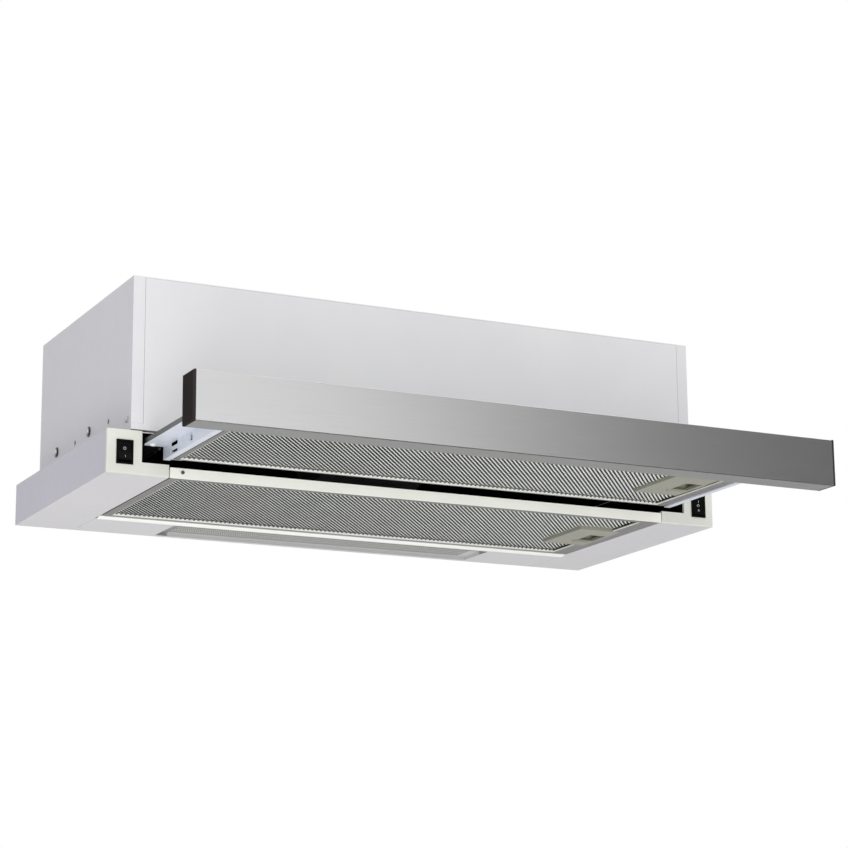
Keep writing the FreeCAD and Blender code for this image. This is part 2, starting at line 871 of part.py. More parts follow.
def upper_shell():
    """Folded box: top, two sides with bottom flanges, back wall and the returns beside the front panel."""
    path = [
        (-half_box + box_flange, 0),
        (-half_box, 0),
        (-half_box, box_height),
        (half_box, box_height),
        (half_box, 0),
        (half_box - box_flange, 0),
    ]
    wrap = prism_y(folded(path, sheet), y_box, 0)
    back = block(-half_box, half_box, -sheet, 0, 0, box_height)
    z_foot = front_foot + fit_gap
    frame = block(-half_box, half_box, y_box, y_box + sheet, z_foot, box_height)
    inner = half_box - front_return + seam / 2
    frame = frame.cut(block(-inner, inner, y_box - overrun, y_box + overrun, 0, z_panel + fit_gap))
    shell = joined([wrap, back, frame])
    mouth = block(-half_box - overrun, half_box + overrun, y_box - overrun, y_box + sheet, -overrun, z_foot)
    shell = shell.cut(mouth)
    shell = shell.cut(rod_z(collar_radius + seat_gap, box_height - overrun, box_height + overrun,
                            0, collar_y))
    shell = shell.cut(gland_hole(gland_radius + fit_gap))
    for y in side_places(mount_hole_front, mount_hole_pitch):
        shell = shell.cut(rod_x(mount_hole_radius, -half_box - overrun, half_box + overrun,
                                y, mount_hole_height))
    for y in side_places(side_screw_front, side_screw_pitch):
        shell = shell.cut(rod_x(screw_radius + fit_gap, -half_box - overrun, half_box + overrun,
                                y, side_screw_height))
    shell = shell.cut(rod_x(screw_radius + fit_gap, -half_box - overrun, half_box + overrun,
                            y_front + corner_screw_front, corner_screw_height))
    for x, y in post_places():
        shell = shell.cut(rod_z(screw_radius + fit_gap, box_height - overrun, box_height + overrun, x, y))
    return shell.removeSplitter()


def front_panel():
    """Front panel with a wide foot, a frame that laps behind the box's returns and a bottom flange."""
    inner = half_box - front_return
    outline = [
        (-half_box, front_lift),
        (half_box, front_lift),
        (half_box, front_foot),
        (inner, front_foot),
        (inner, z_panel),
        (-inner, z_panel),
        (-inner, front_foot),
        (-half_box, front_foot),
    ]
    face = prism_y(outline, y_box, y_box + sheet)
    lap_half = half_box - sheet - seat_gap
    lap_top = box_height - sheet - seat_gap
    lap = block(-lap_half, lap_half, y_box + sheet, y_box + sheet + sheet, front_lift, lap_top)
    lap = lap.cut(block(-lap_half + front_frame, lap_half - front_frame, y_box, y_box + overrun,
                        front_lift + front_frame, lap_top - front_frame))
    flange = block(-lap_half + front_frame, lap_half - front_frame, y_box, y_box + front_frame,
                   front_lift, front_lift + sheet)
    tab = block(-lap_half, -lap_half + sheet, y_box + sheet, y_box + front_frame + front_frame,
                front_lift, front_frame + front_frame)
    tab = tab.cut(rod_x(screw_radius + fit_gap, -half_box, half_box, y_front + corner_screw_front,
                        corner_screw_height))
    return joined([face, lap, flange, tab, mirrored(tab)])


def side_screws():
    """Washered screws through both sides of the box."""
    plain = pan_screw(screw_radius, screw_head_radius, screw_head_height, screw_length)
    plain.translate(Vector(0, 0, washer_thickness))
    washer = rod_z(washer_radius, 0, washer_thickness, 0, 0)
    screw = plain.fuse(washer)
    screws = []
    for y in side_places(side_screw_front, side_screw_pitch):
        screws.append(turned(screw, Vector(-1, 0, 0), Vector(-half_box, y, side_screw_height)))
        screws.append(turned(screw, Vector(1, 0, 0), Vector(half_box, y, side_screw_height)))
    return screws


def corner_screws():
    screw = pan_screw(screw_radius, screw_head_radius, screw_head_height, screw_length)
    y = y_front + corner_screw_front
    return [turned(screw, Vector(-1, 0, 0), Vector(-half_box, y, corner_screw_height)),
            turned(screw, Vector(1, 0, 0), Vector(half_box, y, corner_screw_height))]


# Ball slides
def slide_outer():
    """Left outer member, screwed up under the ledge, with lips under the balls."""
    left = -slide_side - slide_width / 2
    right = -slide_side + slide_width / 2
    low = z_slide - slide_height
    path = [
        (left + slide_lip, low),
        (left, low),
        (left, z_slide),
        (right, z_slide),
        (right, low),
        (right - slide_lip, low),
    ]
    start = y_front + slide_front
    member = prism_y(folded(path, slide_wall), start, start + slide_length)
    for y in slide_screw_places():
        member = member.cut(rod_z(screw_radius + fit_gap, z_slide - overrun, z_slide + overrun,
                                  -slide_side, y))
    return member


def slide_inner():
    """Left inner member, riveted on top of the visor's rail."""
    left = -slide_side - inner_width / 2
    right = -slide_side + inner_width / 2
    low = z_inner()
    path = [
        (right, low + inner_height),
        (right, low),
        (left, low),
        (left, low + inner_height),
    ]
    start = y_bar_back + inner_front
    member = prism_y(folded(path, slide_wall), start, start + inner_length)
    for y in rivet_places():
        member = member.cut(rod_z(rivet_radius + fit_gap, low - overrun, low + overrun,
                                  -slide_side - rivet_shift, y))
    return member


def z_inner():
    """Underside of the inner member, just clear of the outer member's lips."""
    return z_slide - slide_height - seat_gap - seat_gap


def rivet_places():
    return [y_bar_back + rail_sheet + rail_sheet + rivet_end, y_front - rivet_end]


def ball_places():
    first = y_front + slide_front + cage_front_gap + (cage_length - ball_pitch * (ball_count - 1)) / 2
    return [first + ball_pitch * index for index in range(ball_count)]


def ball_cage():
    """Left ball cage: a light channel between the two members, with a hole for each ball."""
    reach = (slide_width / 2 - slide_wall + inner_width / 2) / 2 + cage_sheet / 2
    top = z_slide - cage_drop
    path = [
        (-slide_side - reach, top - cage_skirt),
        (-slide_side - reach, top),
        (-slide_side + reach, top),
        (-slide_side + reach, top - cage_skirt),
    ]
    start = y_front + slide_front + cage_front_gap
    cage = prism_y(folded(path, cage_sheet), start, start + cage_length)
    for y in ball_places():
        half = ball_radius + ball_gap
        z = z_slide - ball_drop
        cage = cage.cut(block(-slide_side - slide_width, -slide_side + slide_width, y - half, y + half,
                              z - half, z + half))
    return cage


def ball(x, y, z):
    """Steel ball with flat facets in bands from pole to pole."""
    def point(band, side):
        polar = math.pi * band / ball_bands
        turn = 2 * math.pi * side / ball_sides
        across = ball_radius * math.sin(polar)
        return Vector(x + across * math.cos(turn), y + across * math.sin(turn),
                      z + ball_radius * math.cos(polar))

    faces = []
    for band in range(ball_bands):
        for side in range(ball_sides):
            corners = [point(band, side), point(band + 1, side),
                       point(band + 1, side + 1), point(band, side + 1)]
            if band == 0:
                corners = corners[:3]
            if band == ball_bands - 1:
                corners = [corners[0], corners[1], corners[3]]
            faces.append(Part.Face(Part.makePolygon(corners + corners[:1])))
    return Part.makeSolid(Part.makeShell(faces))


def slide_balls():
    reach = (slide_width / 2 - slide_wall + inner_width / 2) / 2
    balls = []
    for y in ball_places():
        for side in (-1, 1):
            balls.append(ball(-slide_side + side * reach, y, z_slide - ball_drop))
    return balls


def slide_screws():
    screw = pan_screw(screw_radius, screw_head_radius, screw_head_height, sheet + slide_wall)
    screws = []
    for y in slide_screw_places():
        for side in (-1, 1):
            screws.append(turned(screw, Vector(0, 0, 1), Vector(side * slide_side, y, 0)))
    return screws


# Visor
def visor_bar():
    """Front bar: one brushed sheet folded into a channel that opens to the rear between two lips."""
    z_top = z_bar + bar_height
    path = [
        (y_bar_back, z_bar + bar_lip),
        (y_bar_back, z_bar),
        (y_bar_front, z_bar),
        (y_bar_front, z_top),
        (y_bar_back, z_top),
        (y_bar_back, z_top - bar_lip),
    ]
    bar = prism_x(folded(path, bar_sheet), -half_bar + bar_cap, half_bar - bar_cap)
    for x, y, z in visor_screw_places():
        bar = bar.cut(rod_y(screw_radius + fit_gap, y_bar_back - overrun, y_bar_back + overrun, x, z))
    return bar


def bar_end_cap():
    """Left end cap of the bar: a plate with rounded front edges and a hollow plug inside the channel."""
    z_top = z_bar + bar_height
    plate = block(-half_bar, -half_bar + bar_cap, y_bar_front, y_bar_back, z_bar, z_top)
    edges = [edge for edge in plate.Edges if edge.BoundBox.XMax < -half_bar + fit_gap]
    plate = plate.makeFillet(bar_round, edges)
    gap = bar_sheet + seat_gap
    wall = gap + cap_wall
    x_plug = -half_bar + bar_cap
    plug = block(x_plug, x_plug + bar_plug, y_bar_front + gap, y_bar_back - gap, z_bar + gap, z_top - gap)
    plug = plug.cut(block(x_plug, x_plug + bar_plug, y_bar_front + wall, y_bar_back - wall,
                          z_bar + wall, z_top - wall))
    return joined([plate, plug])


def visor_screw_places():
    z = z_under + visor_screw_height
    return [(side * half_bar * share, y_bar_back, z) for side in (-1, 1) for share in visor_screw_shares]


def tab_screw_places():
    z = (z_rail + z_inner() - rail_sheet) / 2
    x = (rail_flange_side + rail_web_side) / 2
    return [(side * x, y_bar_back, z) for side in (-1, 1)]


def visor_cross_rail():
    """Galvanised rail behind the bar that ties the two side rails together."""
    path = [
        (y_bar_back + cross_flange, z_under + cross_high),
        (y_bar_back, z_under + cross_high),
        (y_bar_back, z_under + cross_low),
    ]
    section = path + offset_path(path, rail_sheet)[::-1]
    rail = prism_x(section, -cross_side, cross_side)
    for x, y, z in visor_screw_places() + tab_screw_places():
        rail = rail.cut(rod_y(screw_radius + fit_gap, y - overrun, y + overrun, x, z))
    return rail


def visor_rail():
    """Left rail: a flange under the slide, a web with lightening holes, a lip and a front tab."""
    z_top = z_inner()
    start = y_bar_back + rail_sheet
    end = y_front - rail_rear
    path = [
        (-rail_flange_side, z_top),
        (-rail_web_side, z_top),
        (-rail_web_side, z_rail + rail_sheet),
        (-rail_web_side + rail_lip, z_rail + rail_sheet),
    ]
    inner = [
        (-rail_web_side + rail_lip, z_rail),
        (-rail_web_side - rail_sheet, z_rail),
        (-rail_web_side - rail_sheet, z_top - rail_sheet),
        (-rail_flange_side, z_top - rail_sheet),
    ]
    rail = prism_y(path + inner, start, end)
    tab = block(-rail_flange_side, -rail_web_side, start, start + rail_sheet, z_rail, z_top)
    for x, y, z in tab_screw_places():
        tab = tab.cut(rod_y(screw_radius + fit_gap, start - overrun, start + overrun, x, z))
    rail = joined([rail, tab])
    middle = (z_rail + z_top) / 2
    low_web = -rail_web_side - rail_sheet - fit_gap
    high_web = -rail_web_side + fit_gap
    for y in web_hole_places():
        rail = rail.cut(block(low_web, high_web, y - rail_hole / 2, y + rail_hole / 2,
                              middle - rail_hole / 2, middle + rail_hole / 2))
    y_slot = y_front - rail_slot_length - rail_rear
    rail = rail.cut(block(low_web, high_web, y_slot - rail_slot_length, y_slot,
                          z_top - rail_sheet - rail_slot_height, z_top - rail_sheet))
    rail = rail.cut(block(low_web, high_web, y_slot - rail_slot_length, y_slot,
                          z_rail + rail_sheet, z_rail + rail_sheet + rail_low_hole))
    for y in rivet_places():
        rail = rail.cut(rod_z(rivet_radius + fit_gap, z_top - overrun, z_top + overrun,
                              -slide_side - rivet_shift, y))
    return rail


def web_hole_places():
    start = y_front - rail_rear
    pitch = (y_front - y_bar_back) / 4
    return [start - pitch * (index + 1 / 2) for index in range(1, 4)]


def visor_rail_left():
    x, z = hinge_place(visor_half, visor_bottom)
    ears = hinge_ears(x, -rail_web_side - rail_sheet / 2, z, z_rail + rail_sheet / 2,
                      visor_bottom + filter_thickness, visor_front, visor_front + visor_filter_depth, sheet)
    return joined([visor_rail()] + ears)


def domed_rivet():
    """Rivet along +Z: a domed head above zero, a shank through both sheets and a flat head below."""
    dome = Part.makeCone(rivet_head_radius, rivet_radius, rivet_head)
    grip = rail_sheet + slide_wall
    shank = rod_z(rivet_radius, -grip, 0, 0, 0)
    tail = rod_z(rivet_radius + slot_depth, -grip - slot_depth, -grip, 0, 0)
    return joined([dome, shank, tail])


def rail_rivets():
    rivet = domed_rivet()
    z = z_inner() - rail_sheet
    rivets = []
    for y in rivet_places():
        left = turned(rivet, Vector(0, 0, -1), Vector(-slide_side - rivet_shift, y, z))
        right = turned(rivet, Vector(0, 0, -1), Vector(slide_side + rivet_shift, y, z))
        rivets.extend([left, right])
    return rivets


def visor_screws():
    screws = []
    bar_screw = pan_screw(screw_radius, screw_head_radius, screw_head_height, rail_sheet + bar_sheet)
    for x, y, z in visor_screw_places():
        screws.append(turned(bar_screw, Vector(0, 1, 0), Vector(x, y + rail_sheet, z)))
    tab_screw = pan_screw(screw_radius, screw_head_radius, screw_head_height, rail_sheet + rail_sheet)
    for x, y, z in tab_screw_places():
        screws.append(turned(tab_screw, Vector(0, 1, 0), Vector(x, y + rail_sheet + rail_sheet, z)))
    return screws


# Blower
def volute(extra, half_width):
    """Solid of the scroll's spiral and outlet, grown outwards by an extra."""
    r_one = scroll_radius + extra
    r_two = r_one + scroll_growth
    r_three = r_two + scroll_growth
    y_two = scroll_y + scroll_growth
    z_two = scroll_z + scroll_growth
    diagonal = math.sqrt(1 / 2)

    def arc(y, z, radius, start, middle, end):
        points = [Vector(-half_width, y + radius * c, z + radius * s) for c, s in (start, middle, end)]
        return Part.Arc(points[0], points[1], points[2]).toShape()

    up = (0, 1)
    forward = (-1, 0)
    down = (0, -1)
    rear = (1, 0)
    edges = [
        arc(scroll_y, scroll_z, r_one, up, (-diagonal, diagonal), forward),
        arc(y_two, scroll_z, r_two, forward, (-diagonal, -diagonal), down),
        arc(y_two, z_two, r_three, down, (diagonal, -diagonal), rear),
    ]
    y_wall = y_two + r_three
    corners = [
        Vector(-half_width, y_wall, z_two),
        Vector(-half_width, y_wall, scroll_z + r_one),
        Vector(-half_width, scroll_y, scroll_z + r_one),
    ]
    edges.append(Part.makeLine(corners[0], corners[1]))
    edges.append(Part.makeLine(corners[1], corners[2]))
    face = Part.Face(Part.Wire(edges))
    spiral = face.extrude(Vector(half_width + half_width, 0, 0))
    duct = block(-half_width, half_width, scroll_y - extra, y_wall, z_two, z_outlet - outlet_plate)
    return joined([spiral, duct])


def post_places():
    return [(x, collar_y + y) for x in (-post_side, post_side) for y in (-post_side, post_side)]


def scroll_housing():
    """Moulded scroll: spiral walls, two lipped inlets, an outlet flange and four hanging posts."""
    outer = volute(scroll_wall, scroll_half_width + scroll_wall)
    inner = volute(0, scroll_half_width)
    flange = block(-outlet_flange, outlet_flange, collar_y - outlet_flange, collar_y + outlet_flange,
                   z_outlet - outlet_plate, z_outlet)
    lips = rod_x(inlet_radius + scroll_wall, -scroll_half_width - scroll_wall,
                 scroll_half_width + scroll_wall, scroll_y, scroll_z)
    lips = lips.cut(rod_x(inlet_radius + scroll_wall + overrun, -scroll_half_width + inlet_lip,
                          scroll_half_width - inlet_lip, scroll_y, scroll_z))
    posts = []
    for x, y in post_places():
        posts.append(rod_z(post_radius, z_outlet, box_height - sheet, x, y))
    y_wall = scroll_y + scroll_growth + scroll_radius + scroll_growth + scroll_growth
    y_throat = max(scroll_y, collar_y - outlet_flange + scroll_wall)
    throat = block(-scroll_half_width, scroll_half_width, y_throat, y_wall,
                   z_outlet - overrun, z_outlet + overrun)
    body = outer.cut(inner)
    whole = joined([body, flange, lips] + posts)
    whole = whole.cut(throat)
    whole = whole.cut(rod_x(inlet_radius, -scroll_half_width - overrun, scroll_half_width + overrun,
                            scroll_y, scroll_z))
    for x, y in post_places():
        whole = whole.cut(rod_z(screw_radius + fit_gap, z_outlet, box_height, x, y))
    return whole.removeSplitter()


def blower_screws():
    screw = pan_screw(screw_radius, screw_head_radius, screw_head_height, screw_length)
    return [turned(screw, Vector(0, 0, 1), Vector(x, y, box_height)) for x, y in post_places()]


def impeller():
    """Double-inlet wheel: forward-curved blades through a middle disc, with a ring at each end."""
    inner_radius = impeller_radius - blade_depth
    root_radius = inner_radius + blade_seat
    tip_radius = impeller_radius - blade_seat
    sweep = math.radians(blade_sweep)

    bow = blade_bulge / ((inner_radius + impeller_radius) / 2)
    width = blade_thickness / impeller_radius

    def side(turn):
        points = []
        for step in range(blade_steps + 1):
            share = step / blade_steps
            radius = root_radius + (tip_radius - root_radius) * share
            angle = turn + sweep * share - 4 * bow * share * (1 - share)
            points.append((scroll_y + radius * math.cos(angle), scroll_z + radius * math.sin(angle)))
        return points

    pieces = []
    for index in range(blade_count):
        turn = 2 * math.pi * index / blade_count
        section = side(turn) + side(turn + width)[::-1]
        pieces.append(prism_x(section, -impeller_half_width, impeller_half_width))
    disc = rod_x(impeller_radius, -hub_disc / 2, hub_disc / 2, scroll_y, scroll_z)
    hub = rod_x(hub_radius, -hub_half_width, hub_half_width, scroll_y, scroll_z)
    for side in (-1, 1):
        start = side * impeller_half_width
        low = min(start, start + side * impeller_ring)
        ring = rod_x(impeller_radius, low, low + impeller_ring, scroll_y, scroll_z)
        pieces.append(ring.cut(rod_x(inner_radius, low, low + impeller_ring, scroll_y, scroll_z)))
    wheel = joined([disc, hub] + pieces)
    return wheel.cut(rod_x(shaft_radius, -hub_half_width, hub_half_width, scroll_y, scroll_z))


def motor_shaft():
    start = x_motor - bell_length - stator_length - bell_length - bell_neck - shaft_end
    return rod_x(shaft_radius, start, hub_half_width + shaft_end, scroll_y, scroll_z)


def motor_rotor():
    low = x_motor - bell_length - stator_length - rotor_end
    high = x_motor - bell_length + rotor_end
    rotor = rod_x(stator_bore - rotor_gap, low, high, scroll_y, scroll_z)
    return rotor.cut(rod_x(shaft_radius, low, high, scroll_y, scroll_z))


def motor_stator():
    """Stack of square laminations with rounded corners and a bore for the rotor."""
    low = x_motor - bell_length - stator_length
    high = x_motor - bell_length
    stack = block(low, high, scroll_y - motor_radius, scroll_y + motor_radius,
                  scroll_z - motor_radius, scroll_z + motor_radius)
    corners = [edge for edge in stack.Edges if edge.BoundBox.XLength > stator_length / 2]
    stack = stack.makeFillet(motor_corner, corners)
    return stack.cut(rod_x(stator_bore, low, high, scroll_y, scroll_z))


def motor_end_bells():
    """Two cast end bells that carry the shaft's bearings."""
    bells = []
    for face, way in ((x_motor - bell_length, 1), (x_motor - bell_length - stator_length, -1)):
        def ring(radius, near, far):
            root = Vector(face + way * near, scroll_y, scroll_z)
            return Part.makeCylinder(radius, far - near, root, Vector(way, 0, 0))

        cup = ring(bell_radius, 0, bell_length)
        cup = cup.cut(ring(bell_radius - bell_wall, 0, bell_length - bell_wall))
        neck_end = bell_length if way > 0 else bell_length + bell_neck
        neck = ring(bell_neck_radius, rotor_end + seat_gap, neck_end)
        bell = joined([cup, neck])
        bells.append(bell.cut(ring(shaft_radius + fit_gap, 0, bell_length + bell_neck + bell_neck)))
    return bells


def arm_angles():
    return [360 / bracket_arms * index + 90 for index in range(bracket_arms)]


def arm_ends():
    ends = []
    for angle in arm_angles():
        turn = math.radians(angle)
        ends.append((scroll_y + bracket_reach * math.cos(turn), scroll_z + bracket_reach * math.sin(turn)))
    return ends


def motor_bracket():
    """Pressed spider between the motor and the scroll's left inlet."""
    low = x_bracket - bracket_sheet
    ring = rod_x(bracket_ring, low, x_bracket, scroll_y, scroll_z)
    arms = []
    for angle in arm_angles():
        arm = block(low, x_bracket, scroll_y, scroll_y + bracket_reach + grommet_radius,
                    scroll_z - bracket_arm / 2, scroll_z + bracket_arm / 2)
        arm.rotate(Vector(0, scroll_y, scroll_z), Vector(1, 0, 0), angle)
        arms.append(arm)
    spider = joined([ring] + arms)
    return spider.cut(rod_x(bell_neck_radius + seat_gap, low, x_bracket, scroll_y, scroll_z))


def motor_grommets():
    """Rubber posts that keep the motor's hum out of the scroll."""
    return [rod_x(grommet_radius, x_bracket, -scroll_half_width - scroll_wall, y, z)
            for y, z in arm_ends()]


# Outlet collar and damper
def z_flap_seat():
    return z_outlet + collar_seat


def collar_axes():
    return (collar_y - flap_axis_side, collar_y + flap_axis_side)


def pin_half_length(y):
    reach = collar_radius - collar_wall
    return math.sqrt(reach * reach - (y - collar_y) ** 2) + flap_pin_seat


def z_flap_pin():
    return z_flap_seat() + seat_gap + flap_barrel_radius


def outlet_collar():
    """Round spigot through the top: an outer flange, an inner seat for the flaps and pin seats."""
    tube = rod_z(collar_radius, z_outlet, box_height + collar_rise, 0, collar_y)
    flange = rod_z(collar_radius + collar_flange, box_height, box_height + collar_flange_thickness,
                   0, collar_y)
    bore = rod_z(collar_radius - collar_wall, z_flap_seat(), box_height + collar_rise, 0, collar_y)
    throat = rod_z(collar_radius - collar_wall - collar_seat, z_outlet, z_flap_seat(), 0, collar_y)
    collar = tube.fuse(flange).cut(bore).cut(throat)
    for y in collar_axes():
        half = pin_half_length(y) + fit_gap
        collar = collar.cut(rod_x(flap_pin_radius + fit_gap, -half, half, y, z_flap_pin()))
    return collar.removeSplitter()


def damper_pins():
    return [rod_x(flap_pin_radius, -pin_half_length(y), pin_half_length(y), y, z_flap_pin())
            for y in collar_axes()]


def damper_flap(way):
    """Half-round flap that hangs on its pin and lies on the collar's seat."""
    y = collar_y + way * flap_axis_side
    radius = collar_radius - collar_wall - flap_gap
    z_low = z_flap_seat() + seat_gap
    disc = rod_z(radius, z_low, z_low + flap_thickness, 0, collar_y)
    keep_low = min(y, y + way * radius)
    disc = disc.common(block(-radius, radius, keep_low, keep_low + radius, z_low, z_low + flap_thickness))
    reach = flap_axis_side + flap_barrel_radius
    half = math.sqrt(radius * radius - reach * reach)
    barrel = rod_x(flap_barrel_radius, -half, half, y, z_flap_pin())
    flap = joined([disc, barrel])
    return flap.cut(rod_x(flap_pin_radius + fit_gap, -radius, radius, y, z_flap_pin()))


# Electrical pieces
def z_capacitor():
    return box_height - sheet - capacitor_radius - clip_sheet


def capacitor():
    can = rod_x(capacitor_radius, capacitor_x, capacitor_x + capacitor_length, capacitor_y, z_capacitor())
    rims = [edge for edge in can.Edges if edge.Closed]
    can = can.makeChamfer(clip_sheet, rims)
    spades = []
    for side in (-1, 1):
        y = capacitor_y + side * terminal_pitch
        start = capacitor_x + capacitor_length
        spades.append(block(start, start + terminal_length, y - terminal_thickness / 2,
                            y + terminal_thickness / 2, z_capacitor() - terminal_width / 2,
                            z_capacitor() + terminal_width / 2))
    return joined([can] + spades)


def capacitor_clip():
    """Spring band round the capacitor, fixed up against the box's top."""
    x_low = capacitor_x + capacitor_length / 2 - clip_width / 2
    x_high = x_low + clip_width
    outer = rod_x(capacitor_radius + clip_sheet, x_low, x_high, capacitor_y, z_capacitor())
    inner = rod_x(capacitor_radius + fit_gap, x_low, x_high, capacitor_y, z_capacitor())
    half = capacitor_radius + clip_width
    tab = block(x_low, x_high, capacitor_y - half, capacitor_y + half,
                box_height - sheet - clip_sheet, box_height - sheet)
    return joined([outer, tab]).cut(inner)


def terminal_box():
    """Open-bottomed box for the mains terminals, up against the top, with the gland's hole."""
    x_high = terminal_box_x + terminal_box_width
    y_high = terminal_box_y + terminal_box_depth
    z_low = box_height - sheet - terminal_box_height
    z_high = box_height - sheet
    wall = terminal_box_wall
    shell = block(terminal_box_x, x_high, terminal_box_y, y_high, z_low, z_high)
    hollow = block(terminal_box_x + wall, x_high - wall, terminal_box_y + wall, y_high - wall,
                   z_low, z_high - wall)
    return shell.cut(hollow).cut(gland_hole(gland_radius + fit_gap))


def terminal_cover():
    z_high = box_height - sheet - terminal_box_height
    lid = block(terminal_box_x, terminal_box_x + terminal_box_width, terminal_box_y,
                terminal_box_y + terminal_box_depth, z_high - terminal_box_wall, z_high)
    edges = [edge for edge in lid.Edges if edge.BoundBox.ZMax < z_high - terminal_box_wall + fit_gap]
    return lid.makeChamfer(terminal_box_wall / 2, edges)


def gland_place():
    return (terminal_box_x + terminal_box_width / 2, terminal_box_y + terminal_box_depth / 2)


def gland_hole(radius):
    x, y = gland_place()
    return rod_z(radius, box_height - sheet - terminal_box_wall - overrun, box_height + overrun, x, y)


def cable_gland():
    """Gland for the mains cord: a hexagon head outside, a body through both walls and a nut inside."""
    x, y = gland_place()
    z_inside = box_height - sheet - terminal_box_wall
    head = flat_sided_rod(gland_sides, gland_head_radius, box_height, box_height + gland_head, x, y)
    body = rod_z(gland_radius, z_inside - gland_nut, box_height + gland_head + gland_nut, x, y)
    nut = flat_sided_rod(gland_sides, gland_head_radius, z_inside - gland_nut, z_inside, x, y)
    gland = joined([head, body, nut])
    return gland.cut(rod_z(gland_bore, z_inside - gland_nut, box_height + gland_head + gland_nut, x, y))


# Every sub-part is written as its own file
def build():
    os.makedirs("parts", exist_ok=True)

    save("upper_shell", [upper_shell()])
    save("front_panel", [front_panel()])
    save("housing_left", [housing_left()])
    save("housing_right", [housing_right()])
    save("side_screws", side_screws())

    cap = end_cap()
    save("end_cap_left", [cap])
    save("end_cap_right", [mirrored(cap)])
    save("front_strip", [front_strip()])
    save("small_screws", corner_screws() + [strip_screw()])

    save("switch_bezel_left", [switch_bezel(-1)])
    save("switch_bezel_right", [switch_bezel(1)])
    save("rocker_left", [rocker(-1, -rocker_angle)])
    save("rocker_right", [rocker(1, 0)])

    save("lamp_panel", [lamp_panel()])
    save("lamp_lens", [lamp_lens()])
    save("lamp_reflector", [lamp_reflector()])
    save("lamp_holders", lamp_holders())
    save("lamps", lamps())

    middle = fixed_latch_y()
    save("fixed_filter_frame", [filter_frame(fixed_half, fixed_front, fixed_filter_depth, fixed_bottom,
                                             fixed_borders, fixed_latch_side, middle)])
    save("fixed_filter_net", [filter_net(fixed_half, fixed_front, fixed_filter_depth, fixed_bottom,
                                         fixed_borders, fixed_latch_side, middle)])
    save("fixed_filter_pins", hinge_pins(fixed_half, fixed_front, fixed_filter_depth, fixed_bottom, sheet))
    save("fixed_latch_plate", [latch_plate(fixed_half, fixed_bottom, fixed_latch_side, middle)])
    save("fixed_latch_slider", [latch_slider_piece(fixed_half, fixed_bottom, fixed_latch_side, middle,
                                                   half_opening + latch_catch)])

    middle = visor_latch_y()
    save("visor_filter_frame", [filter_frame(visor_half, visor_front, visor_filter_depth, visor_bottom,
                                             visor_borders, visor_latch_side, middle)])
    save("visor_filter_net", [filter_net(visor_half, visor_front, visor_filter_depth, visor_bottom,
                                         visor_borders, visor_latch_side, middle)])
    save("visor_filter_pins", hinge_pins(visor_half, visor_front, visor_filter_depth, visor_bottom, sheet))
    save("visor_latch_plate", [latch_plate(visor_half, visor_bottom, visor_latch_side, middle)])
    save("visor_latch_slider", [latch_slider_piece(visor_half, visor_bottom, visor_latch_side, middle,
                                                   rail_web_side - rail_lip + latch_catch)])

    outer = slide_outer()
    save("slide_outer_left", [outer])
    save("slide_outer_right", [mirrored(outer)])
    inner = slide_inner()
    save("slide_inner_left", [inner])
    save("slide_inner_right", [mirrored(inner)])
    cage = [ball_cage()] + slide_balls()
    save("ball_cage_left", cage)
    save("ball_cage_right", [mirrored(piece) for piece in cage])
    save("slide_screws", slide_screws())

    save("visor_bar", [visor_bar()])
    bar_cap_left = bar_end_cap()
    save("bar_cap_left", [bar_cap_left])
    save("bar_cap_right", [mirrored(bar_cap_left)])
    save("visor_cross_rail", [visor_cross_rail()])
    save("visor_rail_left", [visor_rail_left()])
    save("visor_rail_right", [mirrored(visor_rail())])
    save("rail_rivets", rail_rivets())
    save("visor_screws", visor_screws())

    save("scroll_housing", [scroll_housing()])
    save("blower_screws", blower_screws())
    save("impeller", [impeller()])
    save("motor_shaft", [motor_shaft()])
    save("motor_rotor", [motor_rotor()])
    save("motor_stator", [motor_stator()])
    save("motor_end_bells", motor_end_bells())
    save("motor_bracket", [motor_bracket()])
    save("motor_grommets", motor_grommets())

    save("outlet_collar", [outlet_collar()])
    save("damper_pins", damper_pins())
    save("damper_flap_front", [damper_flap(-1)])
    save("damper_flap_rear", [damper_flap(1)])

    save("capacitor", [capacitor(), capacitor_clip()])
    save("terminal_box", [terminal_box(), terminal_cover()])
    save("cable_gland", [cable_gland()])


build()
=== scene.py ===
import math

import bmesh
import bpy
from mathutils import Matrix, Vector


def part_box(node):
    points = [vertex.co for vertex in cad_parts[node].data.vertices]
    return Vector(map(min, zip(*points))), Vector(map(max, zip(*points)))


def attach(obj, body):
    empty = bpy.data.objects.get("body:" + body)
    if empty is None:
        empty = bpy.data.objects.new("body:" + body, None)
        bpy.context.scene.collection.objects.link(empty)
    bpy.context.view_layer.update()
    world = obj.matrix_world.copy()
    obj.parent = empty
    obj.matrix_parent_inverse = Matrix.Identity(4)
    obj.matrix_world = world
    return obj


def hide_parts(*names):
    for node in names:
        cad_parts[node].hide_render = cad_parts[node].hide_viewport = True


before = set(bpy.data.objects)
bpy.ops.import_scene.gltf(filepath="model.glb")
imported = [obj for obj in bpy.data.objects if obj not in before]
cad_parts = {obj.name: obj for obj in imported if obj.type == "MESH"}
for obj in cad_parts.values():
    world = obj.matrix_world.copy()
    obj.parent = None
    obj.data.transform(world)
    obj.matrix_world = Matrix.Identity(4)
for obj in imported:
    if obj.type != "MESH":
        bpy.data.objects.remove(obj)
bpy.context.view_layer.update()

MM = 0.001

# Camera, as fitted to the photograph
CAMERA_TARGET = Vector((-2.8, -256.0, 32.1)) * MM
CAMERA_DISTANCE = 2211.1 * MM
CAMERA_AZIMUTH = math.radians(-26.31)
CAMERA_ELEVATION = math.radians(-13.40)
CAMERA_ROLL = math.radians(-0.46)
CAMERA_LENS = 104.83
SENSOR = 36.0

